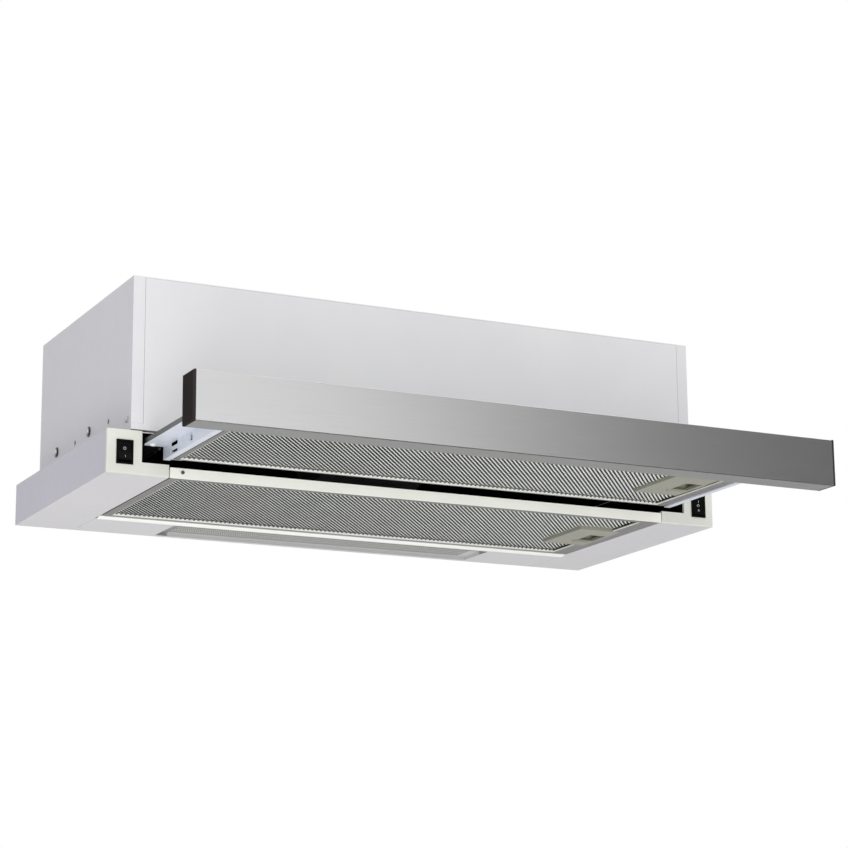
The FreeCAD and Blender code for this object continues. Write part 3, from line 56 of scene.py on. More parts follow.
# Expanded net of the filters
NET_PITCH = 3.42 * MM
NET_ANGLE = math.radians(51.5)
NET_WAVE = 6.0 * MM
NET_SWING = 0.3 * MM
NET_STRAND = 1.9 * MM
NET_SHEET = 0.35 * MM
NET_RISE = 0.9 * MM
NET_STEPS = 4
BORDERS = {
    # Left, right, front, rear
    "fixed_filter": (8.0 * MM, 15.0 * MM, 6.0 * MM, 3.0 * MM),
    "visor_filter": (4.5 * MM, 9.0 * MM, 6.0 * MM, 2.0 * MM),
}
LATCH_GAP = 0.5 * MM
NET_RECESS = 2.7 * MM
NET_SKIN = 0.9 * MM
FILL_LOW = 4.3 * MM
FILL_HIGH = 4.5 * MM
LIP_SHEET = 0.5 * MM
LIP_LOW = 0.1 * MM
LIP_HIGH = 1.3 * MM
TOOTH_PITCH = 4.4 * MM
TOOTH_WIDTH = 2.4 * MM
TOOTH_RISE = 0.9 * MM

# Marks on the rockers, with their places along the rockers' faces
MARK_RAISE = 0.12 * MM
MARK_LINE = 0.4 * MM
RING_RADIUS = 1.1 * MM
RING_STEPS = 40
STROKE_LENGTH = 2.1 * MM
LIGHT_OFF_PLACE = -1.5 * MM
LIGHT_ON_PLACE = -1.0 * MM
SPEED_OFF_PLACE = -3.4 * MM
SPEED_ONE_PLACE = 0.4 * MM
SPEED_TWO_PLACE = 0.0
FACE_NORMAL = 0.8
SAME_NORMAL = 0.999

# Bends and moulded edges
BEND_RADIUS = 0.4 * MM
MOULD_RADIUS = 0.2 * MM
BEND_SEGMENTS = 3
BEND_ANGLE = math.radians(40.0)
BAR_RADIUS = 1.0 * MM
BAR_SEGMENTS = 4
WELD = 0.01 * MM
FLAT_ANGLE = math.radians(2.0)
SAME_PLACE = 0.1 * MM
INNER_MARGIN = 0.6 * MM
PANEL_SKIN = 2.0 * MM
END_NORMAL = 0.9
UNDER_NORMAL = 0.95

# Parts of the lamp panel and the side screws that are coloured apart, with painted shade in the
# lens recess
BEAD_WIDTH = 14.0 * MM
RECESS_HALF = 165.0 * MM
RECESS_EDGE = 1.0 * MM
RECESS_FRONT = -57.0 * MM
SHADE_END = 11.0 * MM
SHADE_FRONT = 18.0 * MM
SHADE_SOFT = 2.0 * MM
SCREW_FACE = 279.0 * MM
SCREW_BLEND = 0.1 * MM
CORNER_REACH = 270.0 * MM
CORNER_BLEND = 1.0 * MM

# Grain of the finishes: noise scales per metre, and heights of the bumps in metres
CLOUD_SCALE = 9.0
FLOW_SCALE = 26.0
SMUDGE_SCALE = 30.0
MOTTLE_SCALE = 60.0
SHEEN_SCALE = 160.0
HAZE_SCALE = 180.0
SPANGLE_SCALE = 260.0
TARNISH_SCALE = 420.0
LENS_DOT_SCALE = 450.0
FROST_SCALE = 500.0
PEEL_SCALE = 700.0
ROLLING_SCALE = 900.0
RUBBER_SCALE = 1400.0
GRAIN_SCALE = 1500.0
PLATE_SCALE = 2200.0
HAIR_SCALE = 2600.0
TURNING_SCALE = 3000.0
HAIR_STRETCH = 0.012
MOTTLE_STRETCH = 0.1
PEEL_HEIGHT = 0.00006
GRAIN_HEIGHT = 0.00004
HAIR_HEIGHT = 0.00001
ROLLING_HEIGHT = 0.00003
TURNING_HEIGHT = 0.00002
LENS_HEIGHT = 0.0002
RUBBER_HEIGHT = 0.00005
CASTING_HEIGHT = 0.0001
PLATE_HEIGHT = 0.00015
FROST_HEIGHT = 0.00003

# Studio, in metres and watts
FLOOR_DROP = 1.6
FLOOR_SIZE = 12.0
FLOOR_SHADES = (0.92, 0.93, 0.94)
FLOOR_HAZE_SCALE = 1.5
WORLD_LIGHT = 0.5
WHITE = 1.0
LAMP_AIM = (0.0, -0.2, 0.0)
LAMPS = (
    # Name, place, width and height, power
    ("key", (-0.7, -2.1, 0.45), (1.2, 1.0), 10.0),
    ("side", (1.5, -1.5, 0.4), (0.8, 0.8), 6.5),
    ("low", (-0.4, -1.9, -0.8), (1.6, 1.0), 11.0),
    ("under", (-0.65, -0.5, -1.3), (1.6, 1.2), 7.5),
    ("back", (0.5, 2.0, 1.5), (1.5, 1.5), 14.0),
)
CARDS = (
    # Name, place, aim, width and height, shade
    ("dark_card", (2.54, -2.0, 0.6), (0.0, -0.455, -0.02), (3.6, 4.2), 0.085),
    ("under_card", (0.9, 2.2, -0.9), (0.9, 2.2, 1.0), (7.0, 4.4), 0.6),
    ("low_card", (0.75, -0.75, -1.1), (0.75, -0.75, 1.0), (1.4, 1.6), 0.02),
)


def linear(red, green, blue):
    """Linear colour of an sRGB colour in 0 to 255."""
    values = []
    for value in (red, green, blue):
        share = value / 255
        values.append(share / 12.92 if share <= 0.04045 else ((share + 0.055) / 1.055) ** 2.4)
    return (values[0], values[1], values[2], 1.0)


# Node helpers
class Shader:
    """A Principled material with the few node chains that the finishes share."""

    def __init__(self, name, color, metallic=0.0, roughness=0.4, specular=0.5):
        self.material = bpy.data.materials.new(name)
        self.material.use_nodes = True
        self.tree = self.material.node_tree
        self.nodes = self.tree.nodes
        self.shader = self.nodes["Principled BSDF"]
        self.shader.inputs["Base Color"].default_value = color
        self.shader.inputs["Metallic"].default_value = metallic
        self.shader.inputs["Roughness"].default_value = roughness
        self.shader.inputs["Specular IOR Level"].default_value = specular
        self.place = self.nodes.new("ShaderNodeTexCoord").outputs["Object"]

    def link(self, start, end):
        self.tree.links.new(start, end)

    def scaled(self, scale):
        """Object coordinates with a scale for each axis."""
        node = self.nodes.new("ShaderNodeMapping")
        node.inputs["Scale"].default_value = scale
        self.link(self.place, node.inputs["Vector"])
        return node.outputs["Vector"]

    def noise(self, scale, detail=3.0, rough=0.5, stretch=(1, 1, 1)):
        node = self.nodes.new("ShaderNodeTexNoise")
        node.inputs["Scale"].default_value = scale
        node.inputs["Detail"].default_value = detail
        node.inputs["Roughness"].default_value = rough
        self.link(self.scaled(stretch), node.inputs["Vector"])
        return node.outputs["Fac"]

    def dots(self, scale, stretch=(1, 1, 1), random=1.0):
        node = self.nodes.new("ShaderNodeTexVoronoi")
        node.inputs["Scale"].default_value = scale
        node.inputs["Randomness"].default_value = random
        self.link(self.scaled(stretch), node.inputs["Vector"])
        return node.outputs["Distance"]

    def axis(self, number):
        """One of the object coordinates, in metres."""
        node = self.nodes.new("ShaderNodeSeparateXYZ")
        self.link(self.place, node.inputs["Vector"])
        return node.outputs[number]

    def math(self, operation, first, second):
        node = self.nodes.new("ShaderNodeMath")
        node.operation = operation
        for value, socket in ((first, node.inputs[0]), (second, node.inputs[1])):
            if isinstance(value, (int, float)):
                socket.default_value = value
            else:
                self.link(value, socket)
        return node.outputs[0]

    def sum_of(self, first, first_share, second, second_share):
        """Two values added in the given shares."""
        return self.math("ADD", self.math("MULTIPLY", first, first_share),
                         self.math("MULTIPLY", second, second_share))

    def span(self, source, low, high, start=0.3, end=0.7):
        """A value spread from one range to another."""
        node = self.nodes.new("ShaderNodeMapRange")
        settings = {"From Min": start, "From Max": end, "To Min": low, "To Max": high}
        for name, value in settings.items():
            node.inputs[name].default_value = value
        self.link(source, node.inputs["Value"])
        return node.outputs["Result"]

    def blend(self, factor, first, second):
        node = self.nodes.new("ShaderNodeMix")
        node.data_type = "RGBA"
        self.link(factor, node.inputs["Factor"])
        for value, name in ((first, "A"), (second, "B")):
            socket = [item for item in node.inputs if item.name == name and item.type == "RGBA"][0]
            if isinstance(value, tuple):
                socket.default_value = value
            else:
                self.link(value, socket)
        return [item for item in node.outputs if item.type == "RGBA"][0]

    def color(self, output):
        self.link(output, self.shader.inputs["Base Color"])

    def roughness(self, output):
        self.link(output, self.shader.inputs["Roughness"])

    def bump(self, height, distance, strength=1.0):
        node = self.nodes.new("ShaderNodeBump")
        node.inputs["Distance"].default_value = distance
        node.inputs["Strength"].default_value = strength
        self.link(height, node.inputs["Height"])
        previous = self.shader.inputs["Normal"]
        if previous.is_linked:
            self.link(previous.links[0].from_socket, node.inputs["Normal"])
        self.link(node.outputs["Normal"], previous)


# Finishes
def paint(name, light, dark, gloss=0.42):
    """Powder paint: fine orange peel, faint cloudiness and a roughness that varies a little."""
    finish = Shader(name, light, roughness=gloss)
    cloud = finish.span(finish.noise(CLOUD_SCALE, 4.0), 0.0, 1.0)
    finish.color(finish.blend(cloud, light, dark))
    finish.roughness(finish.span(finish.noise(SHEEN_SCALE, 2.0), gloss - 0.04, gloss + 0.06))
    finish.bump(finish.noise(PEEL_SCALE, 2.0), PEEL_HEIGHT, 0.5)
    return finish.material


def moulded(name, light, dark, gloss=0.35, grain=GRAIN_SCALE, specular=0.5):
    """Moulded plastic: fine spark-eroded grain and slight flow marks."""
    finish = Shader(name, light, roughness=gloss, specular=specular)
    flow = finish.span(finish.noise(FLOW_SCALE, 3.0), 0.0, 1.0)
    finish.color(finish.blend(flow, light, dark))
    finish.roughness(finish.span(finish.noise(grain / 3, 2.0), gloss - 0.05, gloss + 0.08))
    finish.bump(finish.noise(grain, 2.0), GRAIN_HEIGHT, 0.5)
    return finish.material


def brushed(name, light, dark, gloss, along):
    """Brushed stainless sheet: long hairlines along one axis over broad soft mottling."""
    finish = Shader(name, light, metallic=1.0, roughness=gloss)
    long_hair = tuple(HAIR_STRETCH if axis == along else 1.0 for axis in range(3))
    long_spot = tuple(MOTTLE_STRETCH if axis == along else 1.0 for axis in range(3))
    hairs = finish.noise(HAIR_SCALE, 2.0, 0.6, long_hair)
    broad = finish.noise(MOTTLE_SCALE, 2.0, 0.5, long_spot)
    mixed = finish.sum_of(hairs, 0.7, broad, 0.3)
    finish.color(finish.blend(finish.span(mixed, 0.0, 1.0, 0.38, 0.62), dark, light))
    finish.roughness(finish.span(hairs, gloss - 0.01, gloss + 0.02))
    finish.bump(hairs, HAIR_HEIGHT, 0.2)
    return finish.material


def sheet_metal(name, light, dark, gloss, spangle=0.0, metal=1.0):
    """Rolled or plated sheet: faint rolling lines, smudges and, on zinc, soft spangle."""
    finish = Shader(name, light, metallic=metal, roughness=gloss)
    smudge = finish.noise(SMUDGE_SCALE, 4.0)
    lines = finish.noise(ROLLING_SCALE, 2.0, 0.6, (0.05, 1.0, 1.0))
    mixed = finish.sum_of(smudge, 0.6, lines, 0.4)
    if spangle:
        flowers = finish.math("MULTIPLY", finish.dots(SPANGLE_SCALE), spangle)
        mixed = finish.math("ADD", mixed, flowers)
    finish.color(finish.blend(finish.span(mixed, 0.0, 1.0), dark, light))
    finish.roughness(finish.span(smudge, gloss - 0.07, gloss + 0.1))
    finish.bump(lines, ROLLING_HEIGHT, 0.4)
    return finish.material


def bright_steel(name, light, dark, gloss=0.2):
    """Plated fasteners and ground steel, with turning marks and slight tarnish."""
    finish = Shader(name, light, metallic=1.0, roughness=gloss)
    tarnish = finish.noise(TARNISH_SCALE, 3.0)
    finish.color(finish.blend(finish.span(tarnish, 0.0, 1.0), dark, light))
    finish.roughness(finish.span(tarnish, gloss - 0.05, gloss + 0.15))
    finish.bump(finish.noise(TURNING_SCALE, 1.0), TURNING_HEIGHT, 0.4)
    return finish.material


def recess_shade(finish):
    """One in the light part of the lamp's recess, zero at its left end and front edge."""
    x_start = SHADE_END - RECESS_HALF
    y_start = RECESS_FRONT + SHADE_FRONT
    end = finish.span(finish.axis(0), 0.0, 1.0, x_start, x_start + SHADE_SOFT)
    front = finish.span(finish.axis(1), 0.0, 1.0, y_start, y_start + SHADE_SOFT)
    return finish.math("MINIMUM", end, front)


def recess_paint(name):
    """Painted step round the lens, darkened at the front and left as painted shade where the
    panel's edge shades it.
    """
    finish = Shader(name, linear(200, 199, 198), roughness=0.45)
    cloud = finish.span(finish.noise(CLOUD_SCALE, 4.0), 0.0, 1.0)
    lit = finish.blend(cloud, linear(200, 199, 198), linear(194, 193, 193))
    # Darker colour at the front edge and left end: painted shade
    finish.color(finish.blend(recess_shade(finish), linear(142, 138, 139), lit))
    finish.bump(finish.noise(PEEL_SCALE, 2.0), PEEL_HEIGHT, 0.5)
    return finish.material


def lens_plastic(name):
    """Greyish prismatic lens with rows of fine dots, darkened at its front and left edges as
    painted shade.
    """
    light = linear(190, 190, 187)
    finish = Shader(name, light, roughness=0.3)
    dots = finish.dots(LENS_DOT_SCALE, (1.0, 0.42, 0.01), 0.0)
    spots = finish.span(dots, 0.0, 1.0, 0.25, 0.45)
    spotted = finish.blend(spots, linear(84, 85, 82), light)
    # Darker colour at the front edge and left end: painted shade
    finish.color(finish.blend(recess_shade(finish), linear(138, 136, 135), spotted))
    finish.shader.inputs["Transmission Weight"].default_value = 0.15
    finish.bump(dots, LENS_HEIGHT, 0.5)
    return finish.material


def washer_and_screw(name):
    """Screw head on a darker washer, told apart by the distance from the hood's middle."""
    finish = Shader(name, linear(220, 220, 224), metallic=0.5, roughness=0.3)
    reach = finish.math("ABSOLUTE", finish.axis(0), 0.0)
    head = finish.span(reach, 0.0, 1.0, SCREW_FACE, SCREW_FACE + SCREW_BLEND)
    tarnish = finish.span(finish.noise(TARNISH_SCALE, 3.0), 0.0, 1.0)
    bright = finish.blend(tarnish, linear(190, 190, 196), linear(226, 226, 230))
    finish.color(finish.blend(head, linear(58, 56, 56), bright))
    finish.roughness(finish.span(tarnish, 0.25, 0.4))
    return finish.material


def rubber(name):
    """Black rubber with a dusty haze."""
    finish = Shader(name, linear(26, 26, 26), roughness=0.75)
    haze = finish.span(finish.noise(HAZE_SCALE, 3.0), 0.0, 1.0)
    finish.color(finish.blend(haze, linear(20, 20, 20), linear(36, 36, 36)))
    finish.bump(finish.noise(RUBBER_SCALE), RUBBER_HEIGHT, 0.6)
    return finish.material


def corner_screws(name):
    """Plain zinc at the hood's corners, and a darker one for the screw in the front strip."""
    finish = Shader(name, linear(190, 190, 192), metallic=0.6, roughness=0.35)
    reach = finish.math("ABSOLUTE", finish.axis(0), 0.0)
    corner = finish.span(reach, 0.0, 1.0, CORNER_REACH, CORNER_REACH + CORNER_BLEND)
    tarnish = finish.span(finish.noise(TARNISH_SCALE, 3.0), 0.0, 1.0)
    pale = finish.blend(tarnish, linear(176, 176, 178), linear(206, 206, 208))
    dark = finish.blend(tarnish, linear(72, 70, 66), linear(126, 124, 118))
    finish.color(finish.blend(corner, dark, pale))
    finish.bump(finish.noise(TURNING_SCALE, 1.0), TURNING_HEIGHT, 0.4)
    return finish.material


def castings(name):
    """Die-cast alloy with a coarse skin."""
    finish = Shader(name, linear(158, 160, 162), metallic=1.0, roughness=0.55)
    grain = finish.noise(ROLLING_SCALE, 3.0)
    skin = finish.span(grain, 0.0, 1.0)
    finish.color(finish.blend(skin, linear(132, 134, 136), linear(172, 174, 176)))
    finish.bump(grain, CASTING_HEIGHT, 0.7)
    return finish.material


def laminations(name):
    """Stacked iron laminations: fine lines square to the shaft."""
    finish = Shader(name, linear(96, 98, 102), metallic=1.0, roughness=0.5)
    plates = finish.noise(PLATE_SCALE, 1.0, 0.5, (1.0, 0.01, 0.01))
    lines = finish.span(plates, 0.0, 1.0)
    finish.color(finish.blend(lines, linear(66, 68, 72), linear(118, 120, 124)))
    finish.bump(plates, PLATE_HEIGHT, 0.7)
    return finish.material


def opal_glass(name):
    """Frosted glass of the lamps."""
    finish = Shader(name, linear(240, 240, 235), roughness=0.22)
    frost = finish.noise(FROST_SCALE, 2.0)
    cloud = finish.span(frost, 0.0, 1.0)
    finish.color(finish.blend(cloud, linear(232, 232, 226), linear(246, 246, 242)))
    finish.shader.inputs["Transmission Weight"].default_value = 0.2
    finish.bump(frost, FROST_HEIGHT, 0.4)
    return finish.material


# Maker, material name, light and dark sRGB colours, and the maker's other settings
FINISHES = {
    "box": (paint, "box_paint", (232, 232, 233), (226, 226, 229)),
    # Darker, bluer copy of the box paint for the side faces: painted shade
    "box_side": (paint, "box_side_paint", (222, 221, 227), (217, 216, 223)),
    "housing": (paint, "housing_paint", (209, 207, 209), (204, 202, 205)),
    # Darker, bluer copy of the housing paint for the side faces: painted shade
    "housing_side": (paint, "housing_side_paint", (202, 200, 211), (196, 194, 206)),
    # Brighter copy of the housing paint for the panel's bead: painted highlight
    "bead": (paint, "bead_paint", (252, 252, 246), (248, 248, 242)),
    # Black for the inner faces of the sheets and caps seen through the gaps: painted shade
    "inner_shade": (moulded, "inner_black", (24, 24, 24), (16, 16, 16), 0.8, 900.0, 0.1),
    "cream": (moulded, "cream_plastic", (223, 224, 216), (218, 219, 210), 0.5),
    "strip": (moulded, "strip_cream", (250, 250, 243), (245, 245, 237), 0.5),
    "bar": (brushed, "bar_brushed", (229, 229, 230), (223, 223, 224), 0.29, 0),
    # Darker, duller copy of the bar's steel for its underside: painted shade
    "bar_under": (sheet_metal, "bar_under", (152, 152, 151), (143, 143, 142), 0.5, 0.0, 0.35),
    "zinc": (sheet_metal, "zinc_sheet", (232, 236, 245), (212, 217, 229), 0.42, 0.1, 0.35),
    # Lighter copy of the zinc for the rivet heads: painted highlight
    "rivet": (sheet_metal, "rivet_head", (246, 247, 250), (228, 230, 234), 0.3, 0.0, 0.3),
    "slide": (sheet_metal, "slide_steel", (110, 111, 113), (76, 77, 79), 0.4),
    "border": (sheet_metal, "filter_border", (142, 141, 139), (131, 130, 128), 0.5, 0.0, 0.4),
    # Near-white for the frames' folded lip: painted highlight
    "lip": (sheet_metal, "filter_lip", (252, 252, 247), (242, 242, 237), 0.4, 0.0, 0.25),
    "net": (sheet_metal, "filter_net", (242, 244, 241), (232, 234, 231), 0.4, 0.0, 0.12),
    # Dark grey for the filters' inner layers: painted shade
    "fill": (sheet_metal, "filter_fill", (96, 97, 96), (60, 61, 60), 0.6, 0.0, 0.4),
    "latch": (moulded, "latch_plastic", (153, 153, 139), (146, 146, 132), 0.45),
    "slider": (moulded, "slider_plastic", (112, 112, 97), (104, 104, 89), 0.45),
    "black": (moulded, "black_plastic", (16, 16, 16), (10, 10, 10), 0.42, GRAIN_SCALE, 0.08),
    "brown": (moulded, "brown_black_plastic", (57, 53, 52), (50, 47, 46), 0.5, 900.0, 0.0),
    "mark": (moulded, "mark_white", (196, 196, 192), (184, 184, 180), 0.5),
    "screw": (bright_steel, "screw_steel", (206, 206, 208), (150, 150, 154)),
    "shaft": (bright_steel, "shaft_steel", (214, 214, 216), (180, 180, 184), 0.15),
    "blower": (moulded, "blower_plastic", (96, 96, 98), (80, 80, 82), 0.5),
    "can": (moulded, "capacitor_can", (226, 226, 222), (214, 214, 208), 0.3),
}
SPECIAL_FINISHES = {
    "recess": (recess_paint, "recess_paint"),
    "washer_screw": (washer_and_screw, "washer_and_screw"),
    "corner_screw": (corner_screws, "corner_screws"),
    "lens": (lens_plastic, "lens_plastic"),
    "lamp": (opal_glass, "lamp_glass"),
    "iron": (laminations, "motor_laminations"),
    "alloy": (castings, "motor_casting"),
    "rubber": (rubber, "grommet_rubber"),
}

FINISHED_NODES = {
    "box": ("upper_shell", "front_panel"),
    "housing": ("housing_left", "housing_right", "lamp_panel"),
    "strip": ("front_strip",),
    "cream": ("end_cap_left", "end_cap_right"),
    "washer_screw": ("side_screws",),
    "corner_screw": ("small_screws",),
    "black": (
        "switch_bezel_left", "switch_bezel_right", "rocker_left", "rocker_right", "outlet_collar",
        "damper_flap_front", "damper_flap_rear", "terminal_box", "cable_gland",
    ),
    "brown": ("bar_cap_left", "bar_cap_right"),
    "bar": ("visor_bar",),
    "zinc": (
        "lamp_reflector", "motor_bracket", "visor_cross_rail", "visor_rail_left",
        "visor_rail_right",
    ),
    "rivet": ("rail_rivets",),
    "slide": (
        "slide_outer_left", "slide_outer_right", "slide_inner_left", "slide_inner_right",
        "ball_cage_left", "ball_cage_right",
    ),
    "screw": (
        "slide_screws", "blower_screws", "visor_screws", "fixed_filter_pins",
        "visor_filter_pins",
    ),
    "shaft": ("motor_shaft", "damper_pins"),
    "blower": ("lamp_holders", "scroll_housing", "impeller"),
    "iron": ("motor_stator", "motor_rotor"),
    "alloy": ("motor_end_bells",),
    "rubber": ("motor_grommets",),
    "can": ("capacitor",),
    "lens": ("lamp_lens",),
    "lamp": ("lamps",),
    "border": ("fixed_filter_frame", "visor_filter_frame"),
    "net": ("fixed_filter_net", "visor_filter_net"),
    "latch": ("fixed_latch_plate", "visor_latch_plate"),
    "slider": ("fixed_latch_slider", "visor_latch_slider"),
}


def make_finishes():
    finishes = {}
    for key, (maker, name, light, dark, *settings) in FINISHES.items():
        finishes[key] = maker(name, linear(*light), linear(*dark), *settings)
    for key, (maker, name) in SPECIAL_FINISHES.items():
        finishes[key] = maker(name)
    return finishes


def dress_nodes(finishes):
    for finish, names in FINISHED_NODES.items():
        for name in names:
            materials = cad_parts[name].data.materials
            materials.clear()
            materials.append(finishes[finish])


# Mesh helpers
def new_piece(name, vertices, faces, material, body):
    mesh = bpy.data.meshes.new(name)
    mesh.from_pydata(vertices, [], faces)
    mesh.validate()
    mesh.update()
    piece = bpy.data.objects.new(name, mesh)
    bpy.context.scene.collection.objects.link(piece)
    mesh.materials.append(material)
    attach(piece, body)
    return piece


def is_inner(polygon, low, high):
    """True for a face that lies a sheet's thickness inside the piece's box."""
    center = polygon.center
    return all(low[axis] + INNER_MARGIN < center[axis] < high[axis] - INNER_MARGIN
               for axis in range(3))


def shell_face(polygon, corners, low, high):
    """One for an inner face, which takes black as painted shade, two for an end face, which takes
    the darker side copy of the paint as painted shade.
    """
    if is_inner(polygon, low, high):
        return 1
    return 2 if abs(polygon.normal.x) > END_NORMAL else 0


def cap_face(polygon, corners, low, high):
    """One for an inner face that doesn't reach the front, which takes black as painted shade."""
    reaches = min(corner.y for corner in corners) < low.y + INNER_MARGIN
    return 1 if is_inner(polygon, low, high) and not reaches else 0


def panel_face(polygon, corners, low, high):
    """One for the rounded bead below the panel, which takes a brighter paint as a painted
    highlight, two for the step round the lens, which carries painted shade.
    """
    bead_end = low.y + BEAD_WIDTH
    skin = low.z + PANEL_SKIN
    if polygon.center.y < bead_end and max(corner.z for corner in corners) < skin:
        return 1
    reach = max(abs(corner.x) for corner in corners)
    in_step = reach < RECESS_HALF + RECESS_EDGE and polygon.center.y > bead_end
    return 2 if in_step and polygon.center.z > skin else 0


def bar_face(polygon, corners, low, high):
    """One for the bar's underside, which takes a darker, duller copy of the bar's steel as painted
    shade.
    """
    lowest = polygon.center.z < low.z + INNER_MARGIN
    return 1 if lowest and polygon.normal.z < -UNDER_NORMAL else 0


def round_front(work, radius):
    """Rounds the long edges at the front of a shape."""
    front = min(vertex.co.y for vertex in work.verts) + SAME_PLACE
    edges = []
    for edge in work.edges:
        first, second = (vertex.co for vertex in edge.verts)
        if max(first.y, second.y) < front and abs(first.z - second.z) < SAME_PLACE:
            edges.append(edge)
    bmesh.ops.bevel(work, geom=edges, offset=radius, segments=BAR_SEGMENTS, profile=0.5,
                    affect="EDGES")


def bent_copy(node, body, materials, chooser, radius=BEND_RADIUS, front=None):
    """The node's own shape with its bends and edges rounded, shown in its place.

    The chooser gives each face its number in the list of materials, and a front radius
    rounds the long front edges more than the rest.
    """
    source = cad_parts[node]
    work = bmesh.new()
    work.from_mesh(source.data)
    bmesh.ops.remove_doubles(work, verts=work.verts, dist=WELD)
    bmesh.ops.dissolve_limit(work, angle_limit=FLAT_ANGLE, verts=work.verts, edges=work.edges)
    if front:
        round_front(work, front)
    mesh = bpy.data.meshes.new(node + "_rounded")
    work.to_mesh(mesh)
    work.free()
    piece = bpy.data.objects.new(node + "_rounded", mesh)
    bpy.context.scene.collection.objects.link(piece)
    for material in materials:
        mesh.materials.append(material)
    bevel = piece.modifiers.new("bend", "BEVEL")
    bevel.width = radius
    bevel.segments = BEND_SEGMENTS
    bevel.limit_method = "ANGLE"
    bevel.angle_limit = BEND_ANGLE
    bevel.use_clamp_overlap = True
    bevel.harden_normals = True
    bpy.context.view_layer.objects.active = piece
    piece.select_set(True)
    bpy.ops.object.modifier_apply(modifier="bend")
    piece.select_set(False)
    low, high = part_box(node)
    for polygon in mesh.polygons:
        corners = [mesh.vertices[index].co for index in polygon.vertices]
        polygon.material_index = chooser(polygon, corners, low, high)
    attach(piece, body)
    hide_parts(node)


# Filter nets
def row_span(offset, rectangle):
    """Distances along a strand at which its centre line enters and leaves a rectangle."""
    along = (math.cos(NET_ANGLE), math.sin(NET_ANGLE))
    across = (-math.sin(NET_ANGLE), math.cos(NET_ANGLE))
    low, high = -math.inf, math.inf
    for axis in (0, 1):
        base = across[axis] * offset
        first = (rectangle[axis] - base) / along[axis]
        second = (rectangle[axis + 2] - base) / along[axis]
        low = max(low, min(first, second))
        high = min(high, max(first, second))
    return low, high


def inside(x, y, rectangle):
    return rectangle[0] < x < rectangle[2] and rectangle[1] < y < rectangle[3]


def net_sheet(name, rectangle, hole, z_outer, way, material, body):
    """One layer of expanded net: tilted wavy strands that nearly meet where they swing together."""
    along = (math.cos(NET_ANGLE), math.sin(NET_ANGLE))
    across = (-math.sin(NET_ANGLE), math.cos(NET_ANGLE))
    corners = [(x, y) for x in rectangle[0::2] for y in rectangle[1::2]]
    offsets = [across[0] * x + across[1] * y for x, y in corners]
    first = math.floor(min(offsets) / NET_PITCH)
    last = math.ceil(max(offsets) / NET_PITCH)
    step = NET_WAVE / NET_STEPS
    section = [
        (-NET_STRAND / 2, 0.0),
        (-NET_STRAND / 2, way * NET_SHEET),
        (NET_STRAND / 2, way * (NET_RISE + NET_SHEET)),
        (NET_STRAND / 2, way * NET_RISE),
    ]
    vertices = []
    faces = []
    for row in range(first, last + 1):
        low, high = row_span(row * NET_PITCH, rectangle)
        if high - low < NET_WAVE:
            continue
        count = int((high - low) / step)
        joined = False
        for index in range(count + 1):
            distance = low + index * (high - low) / count
            swing = NET_SWING * math.sin(2 * math.pi * distance / NET_WAVE + math.pi * row)
            offset = row * NET_PITCH + swing
            x = along[0] * distance + across[0] * offset
            y = along[1] * distance + across[1] * offset
            if inside(x, y, hole):
                joined = False
                continue
            base = len(vertices)
            for sideways, height in section:
                vertices.append((x + across[0] * sideways, y + across[1] * sideways,
                                 z_outer + height))
            if joined:
                for corner in range(4):
                    following = (corner + 1) % 4
                    faces.append((base - 4 + corner, base - 4 + following,
                                  base + following, base + corner))
            joined = True
    return new_piece(name, vertices, faces, material, body)


def filter_fill(name, rectangle, hole, z_low, z_high, material, body):
    """Flat sheet for the real inner layers between the two nets, dark as painted shade, notched
    round the latch.
    """
    x_low, y_low, x_high, y_high = rectangle
    outline = [
        (x_low, y_low), (x_high, y_low), (x_high, hole[1]), (hole[0], hole[1]),
        (hole[0], hole[3]), (x_high, hole[3]), (x_high, y_high), (x_low, y_high),
    ]
    count = len(outline)
    vertices = [(x, y, z) for z in (z_low, z_high) for x, y in outline]
    faces = [tuple(range(count))[::-1], tuple(range(count, count * 2))]
    for index in range(count):
        following = (index + 1) % count
        faces.append((index, following, count + following, count + index))
    return new_piece(name, vertices, faces, material, body)


SLAB_FACES = (
    (0, 2, 3, 1), (4, 5, 7, 6), (0, 1, 5, 4), (1, 3, 7, 5), (3, 2, 6, 7), (2, 0, 4, 6),
)


def slab(low, high, vertices, faces):
    """Adds a closed block between two corners to a list of vertices and faces."""
    base = len(vertices)
    for z in (low[2], high[2]):
        for y in (low[1], high[1]):
            for x in (low[0], high[0]):
                vertices.append((x, y, z))
    for face in SLAB_FACES:
        faces.append(tuple(base + index for index in face))


def filter_lip(name, opening, hole, z_low, z_high, material, body):
    """Folded lip round the opening, stopped at the latch, toothed at front and rear, near-white as
    a painted highlight.
    """
    x_low, y_low, x_high, y_high = opening
    sheet = LIP_SHEET
    walls = [
        (x_low, y_low, x_high, y_low + sheet),
        (x_low, y_high - sheet, x_high, y_high),
        (x_low, y_low + sheet, x_low + sheet, y_high - sheet),
    ]
    if hole[0] < x_high < hole[2]:
        walls.append((x_high - sheet, y_low + sheet, x_high, hole[1]))
        walls.append((x_high - sheet, hole[3], x_high, y_high - sheet))
    else:
        walls.append((x_high - sheet, y_low + sheet, x_high, y_high - sheet))
    vertices = []
    faces = []
    for x_one, y_one, x_two, y_two in walls:
        slab((x_one, y_one, z_low), (x_two, y_two, z_high), vertices, faces)
    teeth = int((x_high - x_low) / TOOTH_PITCH)
    half = TOOTH_WIDTH / 2
    for index in range(teeth):
        x = x_low + (index + 0.5) * (x_high - x_low) / teeth
        for y in (y_low, y_high - sheet):
            slab((x - half, y, z_high), (x + half, y + sheet, z_high + TOOTH_RISE), vertices, faces)
    return new_piece(name, vertices, faces, material, body)


